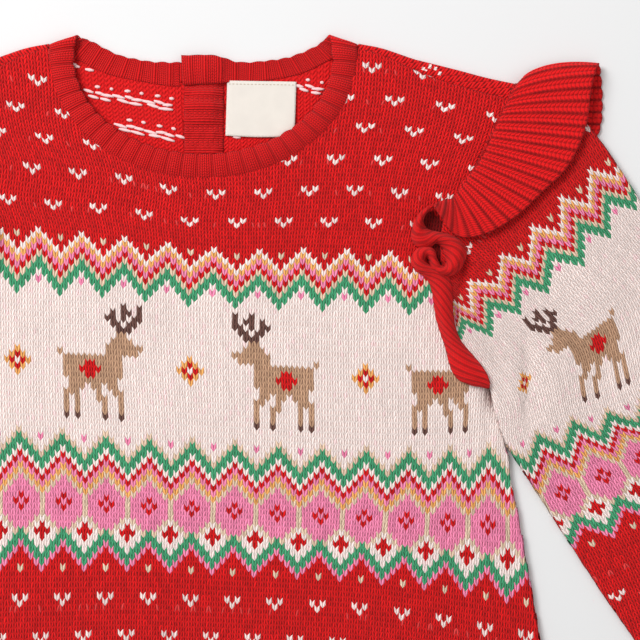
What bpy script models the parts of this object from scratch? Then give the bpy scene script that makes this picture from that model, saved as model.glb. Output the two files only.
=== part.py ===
"""A toddler's knitted dress, laid flat on its back with the neck towards +Y.

Sizes are in millimetres until a mesh is made. X runs across the dress, with the centre front at 0, Y up its
length, and Z up from the surface that it lies on. Walls are given by their middle surface.
"""

import math
from collections import namedtuple

import bmesh
import bpy
import numpy as np

RED = (0.61, 0.012, 0.015)
BUTTON_RED = (0.45, 0.01, 0.012)
CREAM = (0.89, 0.83, 0.75)

MM = 0.001
MERGE = 1e-6
GAP = 0.3

# Thickness of each cloth.
KNIT = 1.7
FRILL = 1.6
BAND = 2.2
LABEL = 1.0

# Heights of the layers' middle surfaces.
BACK_Z = KNIT / 2
FRONT_Z = 3.45
SEAM_DROP = 0.6
ARMHOLE_RISE = 1.0
SHOULDER_RISE = 0.45
FRONT_CROWN = 0.7
BAND_PUFF = 0.45

# The outer share of a half panel that bends to its seam, and how far above the underarm that is in full.
SEAM_SHARE = 0.14
CHEST_BLEND = 15.0

# The body: a flared panel with a scooped neck.
HEM_Y = -250.6
HEM_HEIGHT = 15.0
HEM_TOP = HEM_Y + HEM_HEIGHT
HEM_HALF = 206.0
UNDERARM_Y = 67.2
NECK_Y = 240.0
NECK_HALF = 66.5
NECK_DEPTH = 50.3
BAND_WIDTH = 12.0
NECK_SEAM = 0.6
NECK_POINT_Y = 244.0

Point = namedtuple("Point", "x y")

SIDE = (
    Point(HEM_HALF, HEM_Y),
    Point(168.5, -39.5),
    Point(161.5, 0.5),
    Point(155.4, 34.4),
    Point(151.8, 47.2),
    Point(150.3, UNDERARM_Y),
)

ARMHOLE = (
    Point(150.3, UNDERARM_Y),
    Point(138.5, 85.0),
    Point(128.0, 105.0),
    Point(124.1, 125.0),
    Point(123.4, 150.0),
    Point(128.7, 167.2),
    Point(142.6, 187.7),
    Point(151.6, 208.0),
    Point(160.5, 226.0),
)

# Where rows of both panels meet the armhole; the sleeve has a point at every other one up the yoke.
LOWER_STATIONS = (74.5, 83.0, 93.0, 105.0, 120.0, 140.0, 156.0, 166.0)
YOKE_STATIONS = (172.0, 178.0, 184.5, 191.5, 198.5, 205.5, 212.5, 219.8)

SHOULDER = (
    Point(79.2, 247.0),
    Point(100.5, 243.8),
    Point(121.0, 237.6),
    Point(150.5, 228.2),
    Point(159.0, 226.0),
)

# The seam in front of the shoulder, where the back's turned edge meets the front.
SHOULDER_SEAM = (
    Point(79.2, 244.2),
    Point(98.0, 240.4),
    Point(116.4, 234.5),
    Point(138.0, 226.9),
    Point(155.2, YOKE_STATIONS[-1]),
)

# The back neckline on either side of the opening; the left half hangs a little lower.
BACK_NECK_RIGHT = (
    Point(10.0, 227.2),
    Point(28.7, 227.2),
    Point(49.2, 230.8),
    Point(64.6, 238.4),
    Point(79.2, 245.7),
)
BACK_NECK_LEFT = (
    Point(10.0, 224.6),
    Point(28.7, 226.6),
    Point(49.2, 230.8),
    Point(64.6, 238.4),
    Point(79.2, 245.7),
)

# The opening at the back of the neck.
PLACKET_HALF = 10.0
PLACKET_END_Y = 191.0
PLACKET_TOP = 226.8
UNDER_BAND_RIGHT = 6.0
LAP_EDGE = 6.6
UPPER_BAND_END = PLACKET_HALF - 2.5 * GAP
LAP_RISE = BAND + 2.5 * GAP
BUTTON_RADIUS = 4.5
BUTTON_THICK = 1.8
BUTTON_LIFT = BUTTON_THICK + 1.6 * GAP
BUTTON_Y = (235.0, 214.4)
LIFT_FLAT = 5.2
LIFT_REACH = 10.5

# The sleeve: a flattened tube that leaves the body at a slant and tapers to the cuff. Its rings follow the
# armhole at first, and straighten first across the sleeve and then along it.
SLEEVE_AXIS = np.array((0.565, -0.825))
SLEEVE_OUT = np.array((0.825, 0.565))
INNER_FOLD = (
    Point(153.2, 65.6),
    Point(157.2, 46.5),
    Point(171.0, 18.5),
    Point(206.7, -37.4),
    Point(247.6, -95.1),
)
OUTER_FOLD = (
    Point(161.3, 225.6),
    Point(183.0, 214.0),
    Point(203.5, 195.0),
    Point(251.0, 119.0),
    Point(288.0, 37.0),
    Point(320.1, -61.3),
)
CUFF_INNER_END = Point(264.5, -131.3)
CUFF_OUTER_END = Point(337.0, -97.5)
SLEEVE_HOLLOW = 2.1
SLEEVE_CROWN = 1.6
SLEEVE_BACK_CROWN = 0.25
FRILL_LIFT = FRILL + GAP
FRILL_LIFT_END = 0.26
CAP_LENGTH_BLEND = 0.55
CAP_WIDTH_BLEND = 0.13
SLEEVE_RINGS = 13
ARMHOLE_GAP = 0.62
UNDERARM_GAP = 1.3

# Ribs: the pitch of each band's ribs and how far they stand out.
NECK_RIBS = 42
LAPPED_COLUMNS = 5
NECK_RIB_HEIGHT = 0.5
HEM_RIBS = 50
CUFF_RIBS = 9
EDGE_RIB_HEIGHT = 0.5
FRILL_RIBS = 78
FRILL_RIB_HEIGHT = 0.6

# Long soft folds of the front and the sleeves: a ridge of this height, running at this angle.
Fold = namedtuple("Fold", "x y length width angle height")
BODY_FOLDS = (
    Fold(60.0, 120.0, 120.0, 26.0, 8.0, 0.5),
    Fold(-75.0, 60.0, 150.0, 30.0, -12.0, 0.6),
    Fold(105.0, -40.0, 160.0, 24.0, 78.0, 0.7),
    Fold(-110.0, -90.0, 170.0, 26.0, 98.0, 0.7),
    Fold(20.0, -150.0, 150.0, 34.0, 86.0, 0.6),
)
SLEEVE_FOLDS = (
    Fold(165.0, 105.0, 70.0, 13.0, -52.0, 1.0),
    Fold(200.0, 60.0, 80.0, 15.0, -60.0, 0.9),
    Fold(235.0, -20.0, 70.0, 14.0, -46.0, 0.8),
)

# The neckband, from its lower end at the opening round the left of the back to the left shoulder.
Band = namedtuple("Band", "free_x free_y free_z sewn_x sewn_y sewn_z")
BACK_BAND_Z = BAND / 2
FRONT_BAND_FREE_Z = 4.7
FRONT_BAND_SEWN_Z = 3.6
FRONT_BAND_ROWS = 15
FRONT_TURN = 86.0
BAND_LEFT = (
    Band(9.0, 238.0, BACK_BAND_Z, 9.0, 228.0, BACK_BAND_Z),
    Band(-9.9, 237.4, BACK_BAND_Z, -9.9, 227.8, BACK_BAND_Z),
    Band(-13.0, 237.4, BACK_BAND_Z, -13.0, 225.1, BACK_BAND_Z),
    Band(-27.7, 237.9, BACK_BAND_Z, -28.7, 227.1, BACK_BAND_Z),
    Band(-44.0, 240.4, BACK_BAND_Z, -49.2, 231.5, BACK_BAND_Z),
    Band(-57.5, 246.0, BACK_BAND_Z, -64.4, 239.0, BACK_BAND_Z),
    Band(-64.6, 249.4, 1.5, -76.6, 245.9, 1.5),
    Band(-66.2, 250.4, 2.9, -78.0, 247.6, 2.7),
)
BAND_RIGHT = (
    Band(66.2, 250.4, 2.9, 78.0, 247.6, 2.7),
    Band(64.6, 249.4, 1.5, 76.6, 245.9, 1.5),
    Band(57.5, 245.4, BACK_BAND_Z, 64.4, 239.0, BACK_BAND_Z),
    Band(44.1, 240.0, BACK_BAND_Z, 49.2, 231.5, BACK_BAND_Z),
    Band(28.7, 237.9, BACK_BAND_Z, 28.7, 227.7, BACK_BAND_Z),
    Band(17.5, 237.6, BACK_BAND_Z, 17.5, 227.4, BACK_BAND_Z),
    Band(5.6, 240.3, BACK_BAND_Z + LAP_RISE, 5.6, 227.9, BACK_BAND_Z + LAP_RISE),
    Band(-11.3, 240.3, BACK_BAND_Z + LAP_RISE, -10.3, 227.9, BACK_BAND_Z + LAP_RISE),
)
SHOULDER_BAND = Band(-NECK_HALF, 247.0, 4.4, -(NECK_HALF + BAND_WIDTH - GAP / 2), 246.4, 3.9)

# The frill, from its tail at the underarm, over the shoulder to the back of the underarm. The seam lies on
# the armhole at seam_y, and bow_y and bow_z are how far the strip's middle leaves the straight line to its
# edge.
Frill = namedtuple("Frill", "seam_y seam_z edge_x edge_y edge_z bow_y bow_z")
SEAM_TOP_Z = 6.9
FRONT_FRILL = (
    Frill(72.0, SEAM_TOP_Z, 143.6, 70.2, 6.6, 0.0, 0.3),
    Frill(80.0, SEAM_TOP_Z, 134.4, 74.0, 6.4, 0.0, 1.4),
    Frill(88.0, SEAM_TOP_Z, 127.2, 80.5, 6.4, 0.0, 2.0),
    Frill(97.0, SEAM_TOP_Z, 121.9, 92.0, 6.6, 0.0, 2.2),
    Frill(107.0, SEAM_TOP_Z, 118.4, 104.0, 6.8, 0.0, 2.2),
    Frill(116.0, SEAM_TOP_Z, 115.9, 116.0, 7.6, 0.0, 2.0),
    Frill(121.0, SEAM_TOP_Z, 111.8, 125.5, 9.2, 0.0, 1.4),
    Frill(125.0, SEAM_TOP_Z, 106.0, 131.5, 11.0, 0.0, 0.6),
    Frill(128.0, SEAM_TOP_Z, 106.2, 138.4, 11.8, 0.0, 0.0),
    Frill(131.0, SEAM_TOP_Z, 111.6, 141.2, 12.0, 0.0, 0.0),
    Frill(133.5, SEAM_TOP_Z, 116.6, 138.0, 12.2, 0.0, 0.0),
    Frill(136.0, SEAM_TOP_Z, 119.2, 132.6, 12.2, 0.0, 0.0),
    Frill(138.5, SEAM_TOP_Z, 124.4, 131.2, 12.4, 0.0, 0.0),
    Frill(141.0, SEAM_TOP_Z, 128.2, 136.4, 12.6, 0.0, 0.0),
    Frill(143.5, SEAM_TOP_Z, 126.8, 143.0, 12.6, 0.0, 0.0),
    Frill(146.0, SEAM_TOP_Z, 121.0, 146.4, 12.6, 0.0, 0.0),
    Frill(148.5, SEAM_TOP_Z, 114.6, 146.8, 12.2, 0.0, 0.0),
    Frill(151.0, SEAM_TOP_Z, 108.8, 149.2, 11.8, 0.0, 0.0),
    Frill(153.5, SEAM_TOP_Z, 108.6, 155.2, 11.8, 0.0, 0.0),
    Frill(156.0, SEAM_TOP_Z, 112.6, 160.6, 12.2, 0.0, 0.0),
    Frill(158.5, SEAM_TOP_Z, 117.6, 162.2, 12.4, 0.0, 0.0),
    Frill(161.0, SEAM_TOP_Z, 121.4, 157.4, 12.0, 0.0, 0.4),
    Frill(164.0, SEAM_TOP_Z, 126.0, 151.6, 10.6, 0.0, 1.2),
    Frill(168.0, SEAM_TOP_Z, 136.5, 147.8, 9.4, 0.0, 1.8),
    Frill(173.0, SEAM_TOP_Z, 148.0, 151.5, 8.8, 0.0, 1.8),
    Frill(178.5, SEAM_TOP_Z, 161.0, 160.0, 8.6, 0.0, 1.6),
    Frill(185.5, SEAM_TOP_Z, 173.0, 171.4, 8.6, 0.0, 1.4),
    Frill(192.5, SEAM_TOP_Z, 183.5, 181.5, 8.6, 0.0, 1.4),
    Frill(200.0, SEAM_TOP_Z, 190.8, 194.0, 8.6, 0.0, 1.4),
    Frill(208.5, SEAM_TOP_Z, 195.2, 207.5, 8.6, 0.6, 1.4),
    Frill(217.0, SEAM_TOP_Z, 197.4, 222.5, 8.8, 1.4, 1.2),
    Frill(224.0, SEAM_TOP_Z, 201.2, 233.5, 8.2, 2.6, 0.6),
)
SHOULDER_FRILL_X = 163.2
BACK_FRILL_OUT = 1.1
SHOULDER_FRILL = Frill(229.6, 3.9, 204.2, 238.2, 4.3, 4.2, 0.0)
BACK_FRILL = (
    Frill(224.0, FRILL / 2, 204.8, 231.5, FRILL / 2, 2.6, 0.0),
    Frill(215.0, FRILL / 2, 205.0, 217.0, FRILL / 2, 1.2, 0.0),
    Frill(205.0, FRILL / 2, 202.0, 201.0, FRILL / 2, 0.0, 0.0),
    Frill(195.0, FRILL / 2, 190.0, 182.0, FRILL / 2, 0.0, 0.0),
    Frill(182.0, FRILL / 2, 170.0, 163.0, FRILL / 2, 0.0, 0.0),
    Frill(165.0, FRILL / 2, 147.0, 148.0, FRILL / 2, 0.0, 0.0),
    Frill(145.0, FRILL / 2, 137.0, 136.0, FRILL / 2, 0.0, 0.0),
    Frill(120.0, FRILL / 2, 136.0, 115.0, FRILL / 2, 0.0, 0.0),
    Frill(95.0, FRILL / 2, 140.0, 92.0, FRILL / 2, 0.0, 0.0),
    Frill(74.0, FRILL / 2, 148.5, 73.0, FRILL / 2, 0.0, 0.0),
)

# The blank label, its top edge sewn below the neckband.
LABEL_LEFT = 12.5
LABEL_RIGHT = 48.2
LABEL_TOP = 226.6
LABEL_BOTTOM = 199.2


def ease(t):
    """A smooth step from 0 to 1."""
    t = np.clip(t, 0.0, 1.0)
    return t * t * (3.0 - 2.0 * t)


def smooth(rows, steps=12):
    """A Catmull-Rom curve through the rows of a table, as many closely spaced rows."""
    knots = np.array(rows, float)
    knots = np.vstack([2 * knots[0] - knots[1], knots, 2 * knots[-1] - knots[-2]])
    t = np.linspace(0.0, 1.0, steps, endpoint=False)[:, None]
    runs = [
        0.5 * (2 * b + (c - a) * t + (2 * a - 5 * b + 4 * c - d) * t**2 + (3 * b - a - 3 * c + d) * t**3)
        for a, b, c, d in zip(knots, knots[1:], knots[2:], knots[3:])
    ]
    return np.vstack(runs + [knots[-2:-1]])


def travelled(curve):
    """The length run along a curve up to each of its points, from 0 to 1."""
    steps = np.linalg.norm(np.diff(curve, axis=0), axis=1)
    length = np.concatenate([[0.0], np.cumsum(steps)])
    return length / length[-1]


def pick(curve, where, fractions):
    """A curve's rows at these fractions, where says the fraction of each row."""
    return np.stack([np.interp(fractions, where, column) for column in curve.T], axis=-1)


def along(rows, fractions):
    curve = smooth(rows)
    return pick(curve, travelled(curve), np.asarray(fractions, float))


ARMHOLE_CURVE = smooth(ARMHOLE)
SIDE_CURVE = smooth(SIDE)


def armhole_x(y):
    return np.interp(y, ARMHOLE_CURVE[:, 1], ARMHOLE_CURVE[:, 0])


def side_x(y):
    return np.interp(y, SIDE_CURVE[:, 1], SIDE_CURVE[:, 0])


def folds(table, x, y):
    """How far long soft folds raise the cloth at a place."""
    rise = np.zeros_like(x)
    for fold in table:
        turn = math.radians(fold.angle)
        run = (x - fold.x) * math.cos(turn) + (y - fold.y) * math.sin(turn)
        off = (y - fold.y) * math.cos(turn) - (x - fold.x) * math.sin(turn)
        rise += fold.height * np.exp(-((2 * run / fold.length) ** 2) - (2 * off / fold.width) ** 2)
    return rise


def button_lift(x, y):
    """How far the back's layers rise to clear the buttons under them."""
    lift = np.zeros(np.broadcast(x, y).shape)
    for button_y in BUTTON_Y:
        away = np.hypot(x, y - button_y)
        lift = np.maximum(lift, BUTTON_LIFT * ease((LIFT_REACH - away) / (LIFT_REACH - LIFT_FLAT)))
    return lift


def mirrored(patch):
    """The same patch on the other side of the dress, still facing out."""
    return patch[:, ::-1] * (-1.0, 1.0, 1.0)


def cloth(name, colour, roughness):
    material = bpy.data.materials.new(name)
    material.use_nodes = True
    shader = material.node_tree.nodes["Principled BSDF"]
    shader.inputs["Base Color"].default_value = (*colour, 1.0)
    shader.inputs["Roughness"].default_value = roughness
    shader.inputs["Metallic"].default_value = 0.0
    return material


def add_object(name, bm, colour, roughness):
    mesh = bpy.data.meshes.new(name)
    bm.to_mesh(mesh)
    bm.free()
    mesh.shade_smooth()
    mesh.set_sharp_from_angle(angle=math.radians(50.0))
    mesh.materials.append(cloth(name + "_cloth", colour, roughness))
    piece = bpy.data.objects.new(name, mesh)
    bpy.context.scene.collection.objects.link(piece)
    return piece


def wall(name, patches, thickness, colour, outside=None, inside=None):
    """A closed wall round the middle surface that the patches' points give.

    Patches that share a border are joined there. outside and inside hold, for each patch, how far ribs are
    raised from the wall's two faces.
    """
    sheet = bmesh.new()
    out_rise = sheet.verts.layers.float.new("outside")
    in_rise = sheet.verts.layers.float.new("inside")
    for number, patch in enumerate(patches):
        rows = [[sheet.verts.new(point * MM) for point in row] for row in patch]
        for raised, layer in ((outside, out_rise), (inside, in_rise)):
            if raised is not None:
                for verts, heights in zip(rows, raised[number]):
                    for vert, height in zip(verts, heights):
                        vert[layer] = height * MM
        for low, high in zip(rows, rows[1:]):
            for i in range(len(low) - 1):
                sheet.faces.new((low[i], low[i + 1], high[i + 1], high[i]))
    bmesh.ops.remove_doubles(sheet, verts=sheet.verts, dist=MERGE)
    sheet.normal_update()
    half = thickness * MM / 2
    solid = bmesh.new()
    outer = {v: solid.verts.new(v.co + v.normal * (half + v[out_rise])) for v in sheet.verts}
    inner = {v: solid.verts.new(v.co - v.normal * (half + v[in_rise])) for v in sheet.verts}
    for face in sheet.faces:
        solid.faces.new([outer[v] for v in face.verts])
        solid.faces.new([inner[v] for v in reversed(face.verts)])
    for edge in sheet.edges:
        if edge.is_boundary:
            start = edge.link_loops[0].vert
            end = edge.other_vert(start)
            solid.faces.new((outer[end], outer[start], inner[start], inner[end]))
    for vert in solid.verts:
        vert.co.z = max(vert.co.z, 0.0)
    sheet.free()
    return add_object(name, solid, colour, 0.9)


def ribs(columns, height):
    """Ridge heights across ribs, high and low by turns, two points to a rib."""
    return height * (np.arange(columns) % 2)


# Columns of a half panel, from the centre to the side, closer at the seam.
COLUMNS = np.array([0.0, 0.2, 0.4, 0.58, 0.74, 0.87, 0.95, 1.0])


def across(inner, outer):
    """Rows of points between two edges, in plan, at COLUMNS."""
    return inner[:, None, :] + (outer - inner)[:, None, :] * COLUMNS[None, :, None]


def seam_bend(column):
    return ease((column - 1.0 + SEAM_SHARE) / SEAM_SHARE)


def front_z(x, y, column):
    """The front's middle surface, column running from 0 at the centre to 1 at its edge."""
    length = np.clip((y - HEM_Y) / (NECK_Y - NECK_DEPTH - BAND_WIDTH - HEM_Y), 0.0, 1.0)
    crown = FRONT_CROWN * np.sin(math.pi * length) * (1.0 - column**2)
    edge = seam_bend(column)
    chest = ease((y - UNDERARM_Y) / CHEST_BLEND)
    drop = edge * (SEAM_DROP - (SEAM_DROP + SHOULDER_RISE) * chest)
    return FRONT_Z + crown - drop + folds(BODY_FOLDS, x, y) * (1.0 - edge)


def back_z(x, y, column):
    rise = ARMHOLE_RISE * seam_bend(column) * ease((y - UNDERARM_Y) / CHEST_BLEND)
    return BACK_Z + rise + button_lift(x, y)


def neckline(fractions):
    """The front neckline where the band is sewn on, from the centre to the shoulder."""
    angles = np.linspace(0.0, math.pi / 2, 12)
    half, depth = NECK_HALF + BAND_WIDTH + GAP, NECK_DEPTH + BAND_WIDTH + GAP
    curve = [(half * math.sin(a), NECK_Y - depth * math.cos(a)) for a in angles]
    curve = np.array(curve + [(half, NECK_POINT_Y)])
    return pick(curve, travelled(curve), fractions)


def sides(body, stations):
    """A half panel's outer edge: up the side seam, then the armhole."""
    side = np.stack([side_x(body), body], axis=-1)
    stations = np.array(stations)
    return np.vstack([side, np.stack([armhole_x(stations) - GAP / 2, stations], axis=-1)])


def body_front():
    body = np.linspace(HEM_TOP + GAP / 2, UNDERARM_Y, 8)
    chest = np.linspace(UNDERARM_Y, NECK_Y - NECK_DEPTH - BAND_WIDTH - GAP, len(LOWER_STATIONS) + 1)[1:]
    yoke = np.linspace(0.0, 1.0, len(YOKE_STATIONS) + 1)[1:]
    centre = np.concatenate([body, chest])
    inner = np.stack([np.zeros_like(centre), centre], axis=-1)
    inner = np.vstack([inner, neckline(yoke)])
    plan = across(inner, sides(body, LOWER_STATIONS + YOKE_STATIONS))
    plan[-1] = along(SHOULDER_SEAM, COLUMNS) - (0.0, GAP)
    x, y = plan[..., 0], plan[..., 1]
    half = np.stack([x, y, front_z(x, y, COLUMNS[None, :])], axis=-1)
    wall("body_front", [half, mirrored(half)], KNIT, RED)


def half_back(back_neck):
    """Half of the back, which lies on the surface; its shoulder turns over the top edge on to the front."""
    body = np.linspace(HEM_TOP + GAP / 2, UNDERARM_Y, 6)
    chest = np.linspace(UNDERARM_Y, PLACKET_END_Y - GAP / 2, len(LOWER_STATIONS) + 1)[1:]
    slit = np.linspace(PLACKET_END_Y - GAP / 2, back_neck[0].y - GAP / 2, 4)[1:]
    neck = np.linspace(0.0, 1.0, len(YOKE_STATIONS) - 1)[1:]
    inner_y = np.concatenate([body, chest, slit])
    inner = np.stack([np.full_like(inner_y, PLACKET_HALF), inner_y], axis=-1)
    inner = np.vstack([inner, along(back_neck, neck) - (0.0, GAP / 2)])
    outer = sides(body, LOWER_STATIONS + YOKE_STATIONS + (ARMHOLE[-1].y - GAP,))
    plan = across(inner, outer)
    top = along(SHOULDER, COLUMNS)
    radius = (FRONT_Z - BACK_Z) / 2
    plan[-1] = top - (0.0, radius + KNIT / 2)
    x, y = plan[..., 0], plan[..., 1]
    half = np.stack([x, y, back_z(x, y, COLUMNS[None, :])], axis=-1)
    start = half[-1]
    low, high = start[:, 2], FRONT_Z + SHOULDER_RISE * seam_bend(COLUMNS)
    rows = [half]
    for turn in (-45.0, 0.0, 45.0, 90.0):
        level = (1.0 + math.sin(math.radians(turn))) / 2
        out = radius * math.cos(math.radians(turn))
        rows.append(np.stack([start[:, 0], start[:, 1] + out, low + (high - low) * level], axis=-1)[None])
    seam = along(SHOULDER_SEAM, COLUMNS) + (0.0, GAP / 2)
    rows.append(np.column_stack([seam, high])[None])
    return np.concatenate(rows), len(body) + len(chest)


def body_back():
    right, strip_rows = half_back(BACK_NECK_RIGHT)
    left = mirrored(half_back(BACK_NECK_LEFT)[0])
    centre = np.stack([left[:strip_rows, -1], right[:strip_rows, 0]], axis=1)
    wall("body_back", [right, left, centre], KNIT, RED)


def hems():
    """Rib strips under both panels. The front one's ribs are raised and the back one lies flat."""
    for name, count, z in (("hem_front", HEM_RIBS * 2 + 1, front_z), ("hem_back", 25, back_z)):
        span = np.linspace(-1.0, 1.0, count)
        rows = []
        for y in (HEM_Y, HEM_TOP - GAP / 2):
            x = span * side_x(y)
            rows.append(np.stack([x, np.full_like(x, y), z(x, y, np.abs(span))], axis=-1))
        raised = ribs(count, EDGE_RIB_HEIGHT) if name == "hem_front" else np.zeros(count)
        wall(name, [np.array(rows)], KNIT, RED, outside=[[raised, raised]])


# Points round a flattened tube, from its inner fold over the front and back under it: how far across, and
# which wall, from -1 at the back to 1 at the front.
Round = namedtuple("Round", "across level")


def tube_section(flat):
    """Points round a flattened tube with a small round fold at each side."""
    front = [Round(0.006, 0.72), Round(0.018, 1.0)] + [Round(a, 1.0) for a in flat]
    front += [Round(0.982, 1.0), Round(0.994, 0.72)]
    back = [Round(r.across, -r.level) for r in reversed(front)]
    return np.array([Round(0.0, 0.0)] + front + [Round(1.0, 0.0)] + back + [Round(0.0, 0.0)])


def sleeve_walls(across_fold, along_sleeve):
    """Heights of the sleeve's back and front walls."""
    lift = FRILL_LIFT * (1.0 - ease((along_sleeve - FRILL_LIFT_END) / 0.08))
    arch = np.sin(math.pi * across_fold) * ease(along_sleeve / 0.4)
    back = BACK_Z + lift + SLEEVE_BACK_CROWN * arch
    return back, BACK_Z + lift + SLEEVE_HOLLOW + SLEEVE_CROWN * arch


def sleeve_patch():
    stations = np.linspace(0.0, 1.0, SLEEVE_RINGS)
    inner, outer = along(INNER_FOLD, stations), along(OUTER_FOLD, stations)
    seam_y = LOWER_STATIONS + YOKE_STATIONS[1::2]
    section = tube_section(np.interp(seam_y, ARMHOLE_CURVE[:, 1], travelled(ARMHOLE_CURVE)))
    share, level = section[:, 0], section[:, 1]
    seam = along(ARMHOLE, share)
    ahead = np.gradient(ARMHOLE_CURVE, axis=0)
    ahead = pick(ahead, travelled(ARMHOLE_CURVE), share)
    ahead /= np.linalg.norm(ahead, axis=1)[:, None]
    away = ARMHOLE_GAP + UNDERARM_GAP * (1.0 - ease(share / 0.14))
    seam = seam + np.stack([ahead[:, 1], -ahead[:, 0]], axis=-1) * away[:, None]
    bend = seam - inner[0] - (outer[0] - inner[0]) * share[:, None]
    bend_along = (bend @ SLEEVE_AXIS)[:, None] * SLEEVE_AXIS
    bend_across = (bend @ SLEEVE_OUT)[:, None] * SLEEVE_OUT
    rings = []
    for f, a, b in zip(stations, inner, outer):
        plan = a + (b - a) * share[:, None]
        plan += bend_along * (1.0 - ease(f / CAP_LENGTH_BLEND))
        plan += bend_across * (1.0 - ease(f / CAP_WIDTH_BLEND))
        low, high = sleeve_walls(share, f)
        z = (low + high) / 2 + level * (high - low) / 2
        rise = folds(SLEEVE_FOLDS, plan[:, 0], plan[:, 1]) * ease(f / 0.3) * (1.0 - ease((f - 0.8) / 0.2))
        z = z + rise * np.clip(level, 0.0, 1.0) * np.sin(math.pi * share) ** 0.5
        rings.append(np.column_stack([plan, z]))
    return np.array(rings)


def cuff_patch():
    section = tube_section(np.linspace(0.06, 0.94, CUFF_RIBS * 2 - 1))
    share, level = section[:, 0], section[:, 1]
    rings = []
    start_in, start_out = np.array(INNER_FOLD[-1]), np.array(OUTER_FOLD[-1])
    end_in, end_out = np.array(CUFF_INNER_END), np.array(CUFF_OUTER_END)
    gap = 2 * GAP / np.linalg.norm(end_in - start_in)
    for f in (gap, 0.5, 1.0):
        inner = start_in + (end_in - start_in) * f
        outer = start_out + (end_out - start_out) * f
        plan = inner + (outer - inner) * share[:, None]
        low, high = sleeve_walls(share, 1.0)
        z = (low + high) / 2 + level * (high - low) / 2
        rings.append(np.column_stack([plan, z]))
    raised = ribs(len(section), EDGE_RIB_HEIGHT) * (level > 0.9)
    return np.array(rings), raised


def sleeves():
    sleeve = sleeve_patch()
    cuff, raised = cuff_patch()
    wall("sleeve_right", [sleeve], KNIT, RED)
    wall("sleeve_left", [mirrored(sleeve)], KNIT, RED)
    wall("cuff_right", [cuff], KNIT, RED, outside=[[raised] * len(cuff)])
    wall("cuff_left", [mirrored(cuff)], KNIT, RED, outside=[[raised[::-1]] * len(cuff)])


def neckband():
    """One doubled rib band all round the neck, its ends lapped over the opening's buttons."""
    front = []
    half, depth = NECK_HALF + BAND_WIDTH - NECK_SEAM, NECK_DEPTH + BAND_WIDTH - NECK_SEAM
    for angle in np.linspace(-FRONT_TURN, FRONT_TURN, FRONT_BAND_ROWS):
        s, c = math.sin(math.radians(angle)), math.cos(math.radians(angle))
        free = (NECK_HALF * s, NECK_Y - NECK_DEPTH * c, FRONT_BAND_FREE_Z)
        front.append((*free, half * s, NECK_Y - depth * c, FRONT_BAND_SEWN_Z))
    tables = (BAND_LEFT, [SHOULDER_BAND], front, np.array([SHOULDER_BAND]) * (-1, 1, 1, -1, 1, 1), BAND_RIGHT)
    facing_up = (0.0, 1.0, 1.0, 1.0, 0.0)
    rows = [np.column_stack([rows, np.full(len(rows), up)]) for rows, up in zip(tables, facing_up)]
    curve = smooth(np.vstack(rows))
    where = travelled((curve[:, :3] + curve[:, 3:6]) / 2)
    columns = NECK_RIBS * 2 + 1
    section = pick(curve, where, np.linspace(0.0, 1.0, columns))
    free, sewn, at_front = section[:, :3], section[:, 3:6], np.clip(section[:, 6], 0.0, 1.0)
    shares = np.array([0.0, 0.33, 0.67, 1.0])
    patch = np.array([sewn + (free - sewn) * share for share in shares])
    puff = BAND_PUFF * np.sin(math.pi * shares)[:, None]
    patch[..., 2] += button_lift(patch[..., 0], patch[..., 1]) * (1.0 - at_front) + puff * at_front
    raised = ribs(columns, NECK_RIB_HEIGHT) * (np.arange(columns) > LAPPED_COLUMNS)
    outside = [raised * at_front] * len(shares)
    inside = [raised * (1.0 - at_front)] * len(shares)
    wall("neckband", [patch], BAND, RED, outside=[outside], inside=[inside])


def plackets():
    """The two bands of the opening: the lower one sewn on at the left, the upper one at the right."""
    lower_x = np.linspace(-PLACKET_HALF + 2 * GAP, UNDER_BAND_RIGHT, 7)
    upper_x = np.concatenate([np.linspace(-PLACKET_HALF + GAP, LAP_EDGE, 7), (7.6, 8.5, UPPER_BAND_END)])
    for name, xs in (("placket_outer", lower_x), ("placket_inner", upper_x)):
        ys = np.linspace(PLACKET_END_Y + GAP, PLACKET_TOP, 12)
        x, y = np.meshgrid(xs, ys)
        z = BACK_Z + button_lift(x, y)
        if name == "placket_inner":
            z = z + (KNIT + 3 * GAP) * (1.0 - ease((x - LAP_EDGE) / (UPPER_BAND_END - LAP_EDGE)))
        wall(name, [np.stack([x, y, z], axis=-1)], KNIT, RED)


def buttons():
    profile = ((0.0, 0.5), (2.6, 0.5), (3.0, 0.0), (4.1, 0.0), (BUTTON_RADIUS, 0.5), (BUTTON_RADIUS, 1.3))
    profile += ((4.1, BUTTON_THICK), (0.0, BUTTON_THICK))
    for name, y in zip(("button_upper", "button_lower"), BUTTON_Y):
        bm = bmesh.new()
        verts = [bm.verts.new((radius * MM, 0.0, z * MM)) for radius, z in profile]
        edges = [bm.edges.new(pair) for pair in zip(verts, verts[1:])]
        bmesh.ops.spin(
            bm, geom=verts + edges, cent=(0, 0, 0), axis=(0, 0, 1), angle=math.tau, steps=16, use_merge=True
        )
        bmesh.ops.remove_doubles(bm, verts=bm.verts, dist=MERGE)
        bmesh.ops.recalc_face_normals(bm, faces=bm.faces)
        bmesh.ops.translate(bm, verts=bm.verts, vec=(0.0, y * MM, 0.0))
        add_object(name, bm, BUTTON_RED, 0.35)


def label():
    x, y = np.meshgrid(np.linspace(LABEL_LEFT, LABEL_RIGHT, 5), np.linspace(LABEL_BOTTOM, LABEL_TOP, 4))
    z = np.full_like(x, KNIT + GAP + LABEL / 2)
    wall("label", [np.stack([x, y, z], axis=-1)], LABEL, CREAM)


def frill_sections():
    """The frill's seam and edge, from the tail at the front of the underarm to the back's."""
    rows = [(armhole_x(row.seam_y), *row) for row in FRONT_FRILL]
    rows.append((SHOULDER_FRILL_X, *SHOULDER_FRILL))
    rows += [(armhole_x(row.seam_y) + BACK_FRILL_OUT, *row) for row in BACK_FRILL]
    return smooth(rows)


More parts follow.
